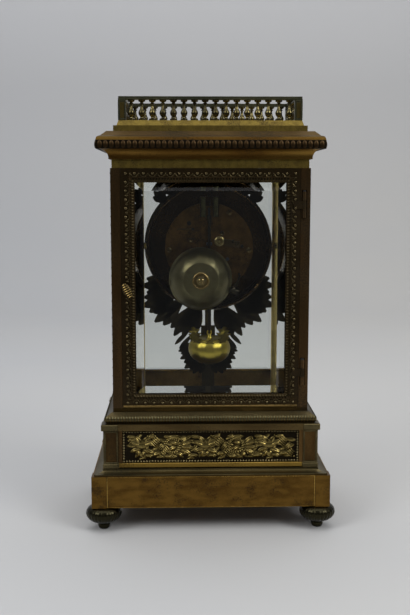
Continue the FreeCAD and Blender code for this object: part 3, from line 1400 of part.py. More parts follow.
def make_surround(drum_inside):
    """Foliage plate round the dial: a ring with pointed leaves, and a spray down to the floor."""
    thick = float(size.dial_thick)
    hole = float(drum_inside + size.dial_margin + size.surround_margin)
    limit = float(drum_radius + size.drum_gap + size.upright_width)
    drop = float(drum_height - floor_top)
    rise = float(body_top - drum_height)
    stem_top = float(drum_radius)
    stem = float(size.surround_stem)
    shapes = [Part.makeCylinder(stem_top + float(size.surround_ring), thick, Vector(), UP)]
    for angle, tip_reach, wide in SURROUND_LEAVES:
        for side in (-1, 1):
            leaf = leaf_face(stem_top + tip_reach, wide).extrude(Vector(0, 0, thick))
            leaf.rotate(Vector(), UP, -90 + side * angle)
            shapes.append(leaf)
    shapes.append(Part.makeBox(stem, drop - stem_top, thick, Vector(-stem / 2, -drop, 0)))
    for side in (-1, 1):
        foot_leaf = leaf_face(FOOT_LEAF_LENGTH, FOOT_LEAF_WIDTH).extrude(Vector(0, 0, thick))
        foot_leaf.rotate(Vector(), UP, 90 - FOOT_LEAF_LEAN * side)
        foot_leaf.translate(Vector(0, FOOT_LEAF_LIFT - drop, 0))
        shapes.append(foot_leaf)
    whole = shapes[0].fuse(shapes[1:])
    window = Part.makeBox(2 * limit, drop + rise, thick, Vector(-limit, -drop, 0))
    shape = whole.common(window).cut(Part.makeCylinder(hole, thick, Vector(), UP)).removeSplitter()
    place = at(CENTRE, dial_back)
    solid_node("dial_surround", shape, FreeCAD.Placement(place, facing(Vector(0, -1, 0))))


def check_and_write():
    """Stop if anything failed, then write each sub-part to its own file."""
    doc.recompute()
    failed = [obj.Name for obj in doc.Objects if {"Invalid", "Error"} & set(obj.State)]
    broken = [label for label, obj in nodes.items() if obj.Shape.isNull() or not obj.Shape.isValid()]
    if failed or broken:
        raise RuntimeError(f"failed objects {failed}, broken sub-parts {broken}")
    os.makedirs("parts", exist_ok=True)
    for label, obj in nodes.items():
        obj.Shape.exportStep(f"parts/{label}.step")
    print(f"{len(nodes)} sub-parts written")


make_base()
make_glazed_body()
make_top()
make_plates()
make_drum_and_dial()
make_going_train()
make_strike_train()
make_motion_work()
make_escapement()
make_bell()
check_and_write()
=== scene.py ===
import logging
import math
from dataclasses import dataclass, field
from enum import Enum
from typing import Callable, Iterator, Sequence, Union

import bmesh
import bpy
from mathutils import Matrix, Vector


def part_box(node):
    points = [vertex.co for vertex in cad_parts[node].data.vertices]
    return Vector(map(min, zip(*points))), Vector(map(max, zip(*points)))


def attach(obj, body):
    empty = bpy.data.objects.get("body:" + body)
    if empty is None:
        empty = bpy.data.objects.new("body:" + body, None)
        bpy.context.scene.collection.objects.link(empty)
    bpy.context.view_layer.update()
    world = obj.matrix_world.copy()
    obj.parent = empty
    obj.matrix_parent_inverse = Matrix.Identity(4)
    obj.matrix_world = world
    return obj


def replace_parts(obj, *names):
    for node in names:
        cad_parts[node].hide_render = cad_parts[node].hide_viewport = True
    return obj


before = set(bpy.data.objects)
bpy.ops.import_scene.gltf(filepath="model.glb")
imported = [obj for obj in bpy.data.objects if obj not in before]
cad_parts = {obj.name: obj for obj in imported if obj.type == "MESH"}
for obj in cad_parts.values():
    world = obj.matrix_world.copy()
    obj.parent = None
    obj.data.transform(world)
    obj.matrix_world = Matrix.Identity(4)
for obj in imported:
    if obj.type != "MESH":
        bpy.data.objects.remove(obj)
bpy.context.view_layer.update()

# Cage clock seen from the rear: cast and gilt brass case, bevelled panes, drum movement, bell and pendulum.
# Lengths in the classes are millimetres, and meshes are made in metres.

MM = 0.001
PHOTO_HIGH = 615
SENSOR_LONG = 36.0
RELIEF = "relief"
LOG = logging.getLogger("cage_clock")

Colour = tuple[float, float, float]


class Side(Enum):
    """The four sides of the case, by their outward direction."""

    BACK = (0.0, 1.0)
    FRONT = (0.0, -1.0)
    RIGHT = (1.0, 0.0)
    LEFT = (-1.0, 0.0)

    @property
    def outward(self) -> Vector:
        """The direction out of this side."""
        return Vector((*self.value, 0.0))

    @property
    def axis(self) -> int:
        """The axis that this side faces along: 0 for X, 1 for Y."""
        return 0 if self.value[0] else 1

    @property
    def run_axis(self) -> int:
        """The level axis that this side runs along."""
        return 1 - self.axis

    def inner(self, low: Vector, high: Vector) -> float:
        """How far a box's inner face stands from the middle of the case."""
        return min(abs(low[self.axis]), abs(high[self.axis]))

    def outer(self, low: Vector, high: Vector) -> float:
        """How far a box's outer face stands from the middle of the case."""
        return max(abs(low[self.axis]), abs(high[self.axis]))


class Wire:
    """A shader socket with arithmetic that adds Math nodes."""

    def __init__(self, sheet: "NodeSheet", socket: bpy.types.NodeSocket) -> None:
        """Hold a socket and the sheet that it is on."""
        self.sheet = sheet
        self.socket = socket

    def joined(self, operation: str, first: "Value", second: "Value") -> "Wire":
        """Add one Math node.

        Args:
            operation: The Math node's operation.
            first: The upper value.
            second: The lower value.

        Returns:
            The node's result.
        """
        return self.sheet.make("ShaderNodeMath", {"operation": operation}, {0: first, 1: second})

    def __add__(self, other: "Value") -> "Wire":
        """This value plus another."""
        return self.joined("ADD", self, other)

    def __radd__(self, other: "Value") -> "Wire":
        """A number plus this value."""
        return self.joined("ADD", other, self)

    def __sub__(self, other: "Value") -> "Wire":
        """This value less another."""
        return self.joined("SUBTRACT", self, other)

    def __rsub__(self, other: "Value") -> "Wire":
        """A number less this value."""
        return self.joined("SUBTRACT", other, self)

    def __mul__(self, other: "Value") -> "Wire":
        """This value times another."""
        return self.joined("MULTIPLY", self, other)

    def __rmul__(self, other: "Value") -> "Wire":
        """A number times this value."""
        return self.joined("MULTIPLY", other, self)

    def ramp(self, low: float, high: float) -> "Wire":
        """A smooth step of this value.

        Args:
            low: The value that gives 0.
            high: The value that gives 1.

        Returns:
            A value from 0 to 1.
        """
        return self.sheet.make("ShaderNodeMapRange", {"interpolation_type": "SMOOTHSTEP"},
                               {"Value": self, "From Min": low, "From Max": high})


Value = Union[Wire, float, int, Sequence[float]]
Key = Union[int, str]
Sockets = dict[Key, Value]


class NodeSheet:
    """The node tree of one material, with one method that makes every node."""

    def __init__(self, tree: bpy.types.NodeTree) -> None:
        """Start with an empty tree."""
        self.tree = tree
        tree.nodes.clear()

    def make(self, kind: str, settings: dict[str, str], sockets: Sockets, output: Key = 0) -> Wire:
        """Add a node.

        Args:
            kind: The node's type.
            settings: Its settings.
            sockets: Values or wires for its inputs, by name or number.
            output: Which output to return.

        Returns:
            That output, or the first input of a node that ends the tree.
        """
        node = self.tree.nodes.new(kind)
        for name, value in settings.items():
            setattr(node, name, value)
        for key, value in sockets.items():
            if isinstance(value, Wire):
                self.tree.links.new(value.socket, node.inputs[key])
            else:
                node.inputs[key].default_value = value
        return Wire(self, node.outputs[output] if node.outputs else node.inputs[0])

    def object_point(self) -> Wire:
        """The point's place in its own piece."""
        return self.make("ShaderNodeTexCoord", {}, {}, "Object")

    def part(self, vector: Wire, axis: str) -> Wire:
        """One part of a vector: X, Y or Z."""
        return self.make("ShaderNodeSeparateXYZ", {}, {0: vector}, axis)

    def noise(self, scale: float, detail: float = 3.0, stretch: Sequence[float] = (1.0, 1.0, 1.0)) -> Wire:
        """Fractal noise over the piece.

        Args:
            scale: Waves in a metre.
            detail: Finer layers.
            stretch: How much faster it changes along X, Y and Z.

        Returns:
            A value round 0.5.
        """
        place = self.make("ShaderNodeMapping", {}, {"Vector": self.object_point(), "Scale": stretch})
        return self.make("ShaderNodeTexNoise", {}, {"Vector": place, "Scale": scale, "Detail": detail})

    def blend(self, amount: Value, first: Value, second: Value) -> Wire:
        """Mix two colours.

        Args:
            amount: 0 gives the first, 1 the second.
            first: The first colour.
            second: The second colour.

        Returns:
            The mixed colour.
        """
        sockets = {0: amount, 6: rgba(first), 7: rgba(second)}
        return self.make("ShaderNodeMix", {"data_type": "RGBA"}, sockets, 2)

    def seen_directly(self) -> Wire:
        """1 where the camera itself sees the point, 0 in reflections and bounced light."""
        return self.make("ShaderNodeLightPath", {}, {}, "Is Camera Ray")

    def relief(self) -> Wire:
        """How high the point stands in its ornament, from 0 in the ground to 1 at a crest."""
        return self.make("ShaderNodeAttribute", {"attribute_name": RELIEF}, {}, "Fac")

    def surface(self, sockets: Sockets) -> None:
        """Finish with a Principled surface.

        Args:
            sockets: Its inputs, by name.
        """
        shader = self.make("ShaderNodeBsdfPrincipled", {}, sockets)
        self.make("ShaderNodeOutputMaterial", {}, {"Surface": shader})

    def bump(self, height: Wire, distance: float, strength: float) -> Wire:
        """A bumped normal.

        Args:
            height: The height field.
            distance: Its depth in metres.
            strength: How much of it shows.

        Returns:
            The normal.
        """
        return self.make("ShaderNodeBump", {}, {"Strength": strength, "Distance": distance, "Height": height})


def rgba(colour: Value) -> Value:
    """A colour with its alpha, where it is plain numbers."""
    return colour if isinstance(colour, Wire) else (*colour, 1.0)


@dataclass(frozen=True)
class Finish:
    """A finish with a name and the record's slot; each kind draws its own nodes."""

    name: str
    slot: str = ""

    def draw(self, sheet: NodeSheet) -> None:
        """Draw the nodes of this finish.

        Args:
            sheet: The material's nodes.
        """
        raise NotImplementedError

    def material(self) -> bpy.types.Material:
        """The material, made once.

        Returns:
            The material with this finish's name.
        """
        made = bpy.data.materials.get(self.name)
        if made is None:
            made = bpy.data.materials.new(self.name)
            made.use_nodes = True
            self.draw(NodeSheet(made.node_tree))
        return made


@dataclass(frozen=True)
class AgedMetal(Finish):
    """Old gilt metal: worn gold in patches, brown patina in the field, dark soiling in random spots, painted
    shade in the ground of sculpted ornament, wear with painted highlight on its crests, and painted shade on
    upward faces where that share is set.
    """

    slot: str = "aged_gilt"
    worn: Colour = (0.20, 0.125, 0.03)
    patina: Colour = (0.11, 0.065, 0.016)
    dirt_and_shade: Colour = (0.02, 0.015, 0.009)
    wear: float = 0.5
    rough: float = 0.42
    streak: tuple[float, float, float] = (1.0, 1.0, 1.0)
    blotch_scale: float = 38.0
    speck_scale: float = 620.0
    grain_scale: float = 1700.0
    grain_depth: float = 0.0001
    # Share of painted shade on faces that look upward.
    painted_top_shade: float = 0.0
    sculpted: bool = False

    def draw(self, sheet: NodeSheet) -> None:
        """Draw the nodes of this finish.

        Args:
            sheet: The material's nodes.
        """
        blotch = sheet.noise(self.blotch_scale, 4.0, self.streak)
        cloud = sheet.noise(self.blotch_scale * 0.4, 3.0)
        speck = sheet.noise(self.speck_scale, 3.0)
        grain = sheet.noise(self.grain_scale, 2.0)
        middle = 0.66 - 0.3 * self.wear
        wear_and_crest_highlight = (blotch * 0.6 + cloud * 0.25 + speck * 0.15).ramp(middle - 0.13, middle + 0.13)
        # Dark soiling in random spots.
        dirt_and_hollow_shade = (cloud * 0.55 + speck * 0.45).ramp(0.48, 0.3)
        if self.sculpted:
            crest = sheet.relief()
            # Crests lighten toward worn gold: wear, and painted highlight.
            wear_and_crest_highlight = wear_and_crest_highlight * 0.4 + crest.ramp(0.35, 0.95) * 0.7
            # The ground of the ornament darkens toward the dark colour: painted shade in its hollows.
            dirt_and_hollow_shade = dirt_and_hollow_shade * 0.3 + (1 - crest.ramp(0.0, 0.5)) * 0.9
        colour = sheet.blend(wear_and_crest_highlight, self.patina, self.worn)
        colour = sheet.blend(dirt_and_hollow_shade * 0.75, colour, self.dirt_and_shade)
        # Painted shade: faces that look upward are blended toward the dark colour by this share.
        if self.painted_top_shade:
            facing = sheet.make("ShaderNodeNewGeometry", {}, {}, "Normal")
            upward = sheet.part(facing, "Z").ramp(0.15, 0.75)
            colour = sheet.blend(upward * self.painted_top_shade, colour, self.dirt_and_shade)
        sheet.surface({
            "Base Color": colour,
            "Metallic": 1.0 - dirt_and_hollow_shade * 0.3,
            "Roughness": self.rough + dirt_and_hollow_shade * 0.2 + (speck - 0.5) * 0.2 - wear_and_crest_highlight * 0.08,
            "Specular IOR Level": 0.2,
            "Normal": sheet.bump(grain * 0.5 + speck * 0.8, self.grain_depth, 0.5)})


@dataclass(frozen=True)
class PlainMetal(Finish):
    """Clean worked metal with fine turning or brushing marks."""

    slot: str = "movement_brass"
    colour: Colour = (0.3, 0.3, 0.3)
    shade: Colour = (0.1, 0.1, 0.1)
    rough: float = 0.3
    brushing: Sequence[float] = (1.0, 1.0, 1.0)
    tarnish: float = 0.5
    mark_scale: float = 900.0
    mark_depth: float = 0.00005
    stain_scale: float = 55.0

    def draw(self, sheet: NodeSheet) -> None:
        """Draw the nodes of this finish.

        Args:
            sheet: The material's nodes.
        """
        marks = sheet.noise(self.mark_scale, 2.0, self.brushing)
        stain = sheet.noise(self.stain_scale, 4.0).ramp(0.66 - self.tarnish * 0.3, 0.36)
        colour = sheet.blend(stain * self.tarnish, self.colour, self.shade)
        sheet.surface({
            "Base Color": colour,
            "Metallic": 0.95,
            "Roughness": self.rough + stain * 0.14 + (marks - 0.5) * 0.16,
            "Normal": sheet.bump(marks, self.mark_depth, 0.35)})


@dataclass(frozen=True)
class ClearGlass(Finish):
    """Polished bevelled plate glass."""

    slot: str = "glass"
    tint: Colour = (0.95, 0.97, 0.95)
    index: float = 1.58

    def draw(self, sheet: NodeSheet) -> None:
        """Draw the nodes of this finish.

        Args:
            sheet: The material's nodes.
        """
        clean = sheet.noise(30.0, 3.0)
        sheet.surface({
            "Base Color": rgba(self.tint),
            "Roughness": clean.ramp(0.5, 0.9) * 0.03,
            "IOR": self.index,
            "Transmission Weight": 1.0})


@dataclass(frozen=True)
class Enamel(Finish):
    """Fired white enamel with a faint craze and a warm rim."""

    slot: str = "enamel"
    white: Colour = (0.78, 0.76, 0.70)
    aged: Colour = (0.62, 0.57, 0.47)
    crack: Colour = (0.25, 0.2, 0.14)
    crack_scale: float = 110.0

    def draw(self, sheet: NodeSheet) -> None:
        """Draw the nodes of this finish.

        Args:
            sheet: The material's nodes.
        """
        stain = sheet.noise(25.0, 5.0).ramp(0.5, 0.75)
        craze = sheet.make("ShaderNodeTexVoronoi", {"feature": "DISTANCE_TO_EDGE"},
                           {"Vector": sheet.object_point(), "Scale": self.crack_scale})
        colour = sheet.blend(stain * 0.4, self.white, self.aged)
        colour = sheet.blend((1 - craze.ramp(0.0, 0.02)) * 0.12, colour, self.crack)
        sheet.surface({"Base Color": colour, "Roughness": 0.14 + stain * 0.1, "Coat Weight": 0.4})


@dataclass(frozen=True)
class InkEnamel(Finish):
    """Black fired figures."""

    slot: str = "enamel"
    ink: Colour = (0.012, 0.012, 0.014)
    thin: Colour = (0.06, 0.055, 0.05)

    def draw(self, sheet: NodeSheet) -> None:
        """Draw the nodes of this finish.

        Args:
            sheet: The material's nodes.
        """
        worn = sheet.noise(300.0, 3.0).ramp(0.6, 0.85)
        sheet.surface({"Base Color": sheet.blend(worn * 0.5, self.ink, self.thin),
                       "Roughness": 0.3 + worn * 0.2})


@dataclass(frozen=True)
class PaperSweep(Finish):
    """The pale paper that the clock stands on and in front of, with painted light graded across it and up the
    backdrop.
    """

    cool_shaded_side: Colour = (0.475, 0.485, 0.505)
    warm_lit_side: Colour = (0.525, 0.520, 0.505)
    shadow: Colour = (0.03, 0.03, 0.03)
    # Painted light at the top of the backdrop.
    high: Colour = (0.72, 0.725, 0.745)

    def draw(self, sheet: NodeSheet) -> None:
        """Draw the nodes of this finish.

        Args:
            sheet: The material's nodes.
        """
        across, near, rise = (sheet.part(sheet.object_point(), axis) for axis in "XYZ")
        mottle = sheet.noise(3.0, 3.0).ramp(0.3, 0.7) * 0.2
        # Painted light: toward +X the sheet is a little darker and bluer, toward -X a little brighter and
        # yellower.
        tone = sheet.blend(across.ramp(-0.9, 0.9) * 0.8 + mottle, self.warm_lit_side, self.cool_shaded_side)
        tone = sheet.blend(near.ramp(0.36, 0.6) * (1 - sheet.seen_directly()), tone, self.shadow)
        # Painted light: the sheet grows much lighter higher up the backdrop.
        tone = sheet.blend(rise.ramp(0.05, 1.3), tone, self.high)
        sheet.surface({"Base Color": tone, "Roughness": 0.9})


CASE_GILT = AgedMetal("case_gilt")
# The cornice and the ledge cap darken their upward faces: painted shade.
CORNICE_GILT = AgedMetal(
    "cornice_gilt", worn=(0.26, 0.15, 0.032), patina=(0.135, 0.066, 0.013), dirt_and_shade=(0.022, 0.018, 0.008),
    rough=0.5, streak=(0.3, 0.3, 1.6), painted_top_shade=0.73)
TOP_GILT = AgedMetal(
    "top_gilt", worn=(0.46, 0.33, 0.078), patina=(0.24, 0.17, 0.046), streak=(1.0, 1.0, 0.7),
    blotch_scale=150.0)
POST_PANEL_GILT = AgedMetal(
    "post_panel_gilt", worn=(0.26, 0.195, 0.06), patina=(0.095, 0.072, 0.026), rough=0.4,
    streak=(2.0, 2.0, 0.4), blotch_scale=90.0)
GALLERY_GILT = AgedMetal("gallery_gilt", worn=(0.19, 0.185, 0.105), patina=(0.085, 0.088, 0.056), wear=0.45)
POST_PATINA = AgedMetal(
    "post_patina", worn=(0.185, 0.105, 0.042), patina=(0.085, 0.054, 0.025), wear=0.45,
    streak=(2.0, 2.0, 0.2), rough=0.38)
FRAME_PATINA = AgedMetal("frame_patina", worn=(0.085, 0.056, 0.025), patina=(0.046, 0.032, 0.016), wear=0.4)
FLOOR_PATINA = AgedMetal(
    "floor_patina", worn=(0.1, 0.062, 0.018), patina=(0.048, 0.03, 0.009), wear=0.4, rough=0.5)
SILL_PATINA = AgedMetal(
    "inner_sill_patina", worn=(0.48, 0.305, 0.092), patina=(0.27, 0.168, 0.05), wear=0.4, rough=0.5)
BALUSTER_GILT = AgedMetal("baluster_gilt", worn=(0.17, 0.14, 0.06), patina=(0.06, 0.05, 0.025), rough=0.32)
PLINTH_GILT = AgedMetal(
    "plinth_gilt", worn=(0.18, 0.098, 0.02), patina=(0.108, 0.056, 0.012), wear=0.52,
    streak=(0.3, 0.3, 0.9), blotch_scale=190.0)
BLOCK_GILT = AgedMetal(
    "block_gilt", worn=(0.15, 0.085, 0.029), patina=(0.068, 0.04, 0.015), streak=(1.5, 1.5, 0.4))
CAP_GILT = AgedMetal(
    "cap_gilt", worn=(0.19, 0.132, 0.051), patina=(0.095, 0.063, 0.025), dirt_and_shade=(0.026, 0.029, 0.018),
    rough=0.44, streak=(0.4, 0.4, 1.5), painted_top_shade=0.55)
STONE_GILT = AgedMetal(
    "base_moulding_gilt", worn=(0.17, 0.135, 0.062), patina=(0.078, 0.062, 0.029), dirt_and_shade=(0.02, 0.02, 0.013),
    rough=0.44, streak=(0.4, 0.4, 1.5))
REED_GILT = AgedMetal(
    "reed_gilt", worn=(0.1, 0.088, 0.044), patina=(0.05, 0.044, 0.023), dirt_and_shade=(0.014, 0.013, 0.009),
    wear=0.45, rough=0.4, sculpted=True)
FOOT_GILT = AgedMetal(
    "foot_gilt", worn=(0.038, 0.034, 0.018), patina=(0.015, 0.0135, 0.008), dirt_and_shade=(0.01, 0.01, 0.007),
    wear=0.4, rough=0.34, sculpted=True)
FILLET_GILT = AgedMetal(
    "fillet_gilt", "gilt_bright", worn=(0.34, 0.215, 0.045), patina=(0.21, 0.13, 0.028), wear=0.6,
    streak=(0.3, 0.3, 1.0))
DOOR_FILLET_GILT = AgedMetal(
    "door_fillet_gilt", "gilt_bright", worn=(0.245, 0.163, 0.054), patina=(0.15, 0.098, 0.034), wear=0.6,
    streak=(0.3, 0.3, 1.0))
SEAM_GILT = AgedMetal(
    "seam_gilt", "gilt_bright", worn=(0.52, 0.34, 0.085), patina=(0.22, 0.13, 0.03), wear=0.6, rough=0.34)
LEAF_GILT = AgedMetal(
    "leaf_moulding_gilt", worn=(0.046, 0.034, 0.016), patina=(0.019, 0.014, 0.007),
    dirt_and_shade=(0.01, 0.008, 0.005), wear=0.4, sculpted=True, rough=0.34)
EGG_GILT = AgedMetal(
    "egg_row_gilt", worn=(0.08, 0.049, 0.022), patina=(0.036, 0.021, 0.01), dirt_and_shade=(0.01, 0.007, 0.004),
    wear=0.4, sculpted=True, rough=0.46)
BEAD_GILT = AgedMetal(
    "bead_gilt", worn=(0.15, 0.115, 0.055), patina=(0.05, 0.038, 0.019), wear=0.4, sculpted=True, rough=0.3)
BORDER_GILT = AgedMetal(
    "border_bead_gilt", worn=(0.3, 0.24, 0.115), patina=(0.1, 0.08, 0.04), sculpted=True, rough=0.3)
RELIEF_GILT = AgedMetal(
    "relief_gilt", "gilt_bright", worn=(0.27, 0.205, 0.068), patina=(0.084, 0.062, 0.02),
    dirt_and_shade=(0.016, 0.012, 0.006), wear=0.55, sculpted=True, rough=0.25)
KNOB_GILT = AgedMetal(
    "knob_gilt", "gilt_bright", worn=(0.19, 0.13, 0.043), patina=(0.052, 0.035, 0.012), sculpted=True,
    rough=0.24)
# A near-black ground that paints the shade in the gaps of the frieze relief and between the cornice eggs.
PAINTED_SHADE_GROUND = AgedMetal(
    "painted_shade_ground", worn=(0.035, 0.026, 0.012), patina=(0.016, 0.012, 0.007), dirt_and_shade=(0.008, 0.007, 0.005),
    wear=0.2, rough=0.6)
BOB_GILT = AgedMetal(
    "bob_gilt", "gilt_bright", worn=(0.62, 0.49, 0.085), patina=(0.33, 0.25, 0.042),
    dirt_and_shade=(0.09, 0.07, 0.016), wear=0.6, sculpted=True, rough=0.46, blotch_scale=110.0)
FOLIAGE_DARK = AgedMetal(
    "foliage_patina", worn=(0.2, 0.16, 0.075), patina=(0.08, 0.066, 0.036), wear=0.4, sculpted=True)
PLATE_BRASS = AgedMetal(
    "plate_brass", "movement_brass", worn=(0.22, 0.12, 0.032), patina=(0.092, 0.052, 0.015), wear=0.55,
    rough=0.4, blotch_scale=60.0)
COCK_BRASS = PlainMetal("cock_brass", colour=(0.13, 0.125, 0.058), shade=(0.05, 0.048, 0.024))
WHEEL_BRASS = PlainMetal("wheel_brass", colour=(0.3, 0.21, 0.08), shade=(0.11, 0.075, 0.03))
NUT_BRASS = PlainMetal("nut_brass", colour=(0.52, 0.41, 0.17), shade=(0.22, 0.165, 0.068))
BUSH_BRASS = PlainMetal("bush_brass", colour=(0.15, 0.105, 0.042), shade=(0.07, 0.046, 0.019))
UPRIGHT_BRASS = PlainMetal(
    "upright_brass", colour=(0.92, 0.72, 0.26), shade=(0.56, 0.42, 0.14), rough=0.4,
    brushing=(3.0, 3.0, 0.15))
DRUM_BRASS = AgedMetal(
    "drum_brass", "movement_brass", worn=(0.11, 0.066, 0.026), patina=(0.042, 0.024, 0.01), wear=0.35,
    rough=0.3)
STEEL = PlainMetal(
    "worked_steel", "steel", colour=(0.11, 0.115, 0.12), shade=(0.04, 0.04, 0.042), rough=0.28)
DARK_STEEL = PlainMetal(
    "dark_steel", "steel", colour=(0.05, 0.043, 0.03), shade=(0.026, 0.022, 0.016), rough=0.4)
BLUED = PlainMetal("blued_steel", "steel", colour=(0.03, 0.04, 0.12), shade=(0.015, 0.016, 0.03), rough=0.2)
BELL_METAL = PlainMetal(
    "satin_bell_metal", "bell_metal", colour=(0.2, 0.174, 0.089), shade=(0.12, 0.103, 0.051), rough=0.42)
GLASS = ClearGlass("plate_glass")
ENAMEL = Enamel("dial_enamel")
INK = InkEnamel("dial_ink")
PAPER = PaperSweep("paper_sweep")

UP = Vector((0.0, 0.0, 1.0))
ENDS = (-1, 1)
Profile = Sequence[tuple[float, float]]
Rows = Sequence[Sequence[Vector]]
Table = tuple[tuple[float, ...], ...]


def arc(start: float, end: float, count: int) -> list[float]:
    """Even angles from one to another, both ends counted."""
    return [start + (end - start) * step / (count - 1) for step in range(count)]


def turns(count: int) -> list[float]:
    """Even angles round a circle."""
    return [2 * math.pi * step / count for step in range(count)]


def corners(u: float, v: float) -> list[tuple[float, float]]:
    """The corners of a rectangle, from half its width and half its height."""
    return [(-u, -v), (u, -v), (u, v), (-u, v)]


def round_section(radius: float, steps: int, rise: float = 0.0) -> list[tuple[float, float]]:
    """A round section of a ring: how far out and how high each point is."""
    return [(radius * math.cos(angle), rise + radius * math.sin(angle)) for angle in turns(steps)]


def spread(half: float, pitch: float, shift: float = 0.0) -> list[float]:
    """Even places along a line.

    Args:
        half: Half the line's length.
        pitch: About how far apart the places are.
        shift: Where the first place stands, as a share of a step.

    Returns:
        Distances from the line's middle.
    """
    count = max(1, round(2 * half / pitch))
    return [2 * half * (index + shift) / count - half for index in range(count)]


@dataclass
class Plane:
    """A flat working face: an origin in millimetres with directions across, up and out."""

    origin: Vector
    across: Vector
    up: Vector
    out: Vector

    def at(self, u: float, v: float, n: float = 0.0) -> Vector:
        """The point at distances across, up and out."""
        return self.origin + self.across * u + self.up * v + self.out * n

    def moved(self, u: float, v: float, n: float = 0.0) -> "Plane":
        """The same face with its origin at another place."""
        return Plane(self.at(u, v, n), self.across, self.up, self.out)

    def polar(self, radius: float, angle: float, n: float = 0.0, turn: float = 0.0) -> Matrix:
        """A placing matrix at a radius and an angle about the origin."""
        return self.turned(radius * math.cos(angle), radius * math.sin(angle), n, turn)

    def turned(self, u: float, v: float, n: float = 0.0, angle: float = 0.0) -> Matrix:
        """A placing matrix on the face.

        Args:
            u: Distance across.
            v: Distance up.
            n: Distance out.
            angle: Turn in the face, in radians.

        Returns:
            A matrix whose X and Y lie in the face and whose Z points out of it.
        """
        cos, sin = math.cos(angle), math.sin(angle)
        first = self.across * cos + self.up * sin
        second = self.up * cos - self.across * sin
        made = Matrix((first, second, self.out)).transposed().to_4x4()
        made.translation = self.at(u, v, n)
        return made


def face_of(side: Side, distance: float, height: float, over: Vector = Vector()) -> Plane:
    """The working face on one side of the case.

    Args:
        side: Which side.
        distance: How far the face stands from the middle.
        height: Height of the face's origin.
        over: A point that the origin stands in line with, across the face.

    Returns:
        The face, with its across direction to the right as seen from outside.
    """
    out = side.outward
    across = UP.cross(out)
    return Plane(out * distance + UP * height + across * over.dot(across), across, UP, out)


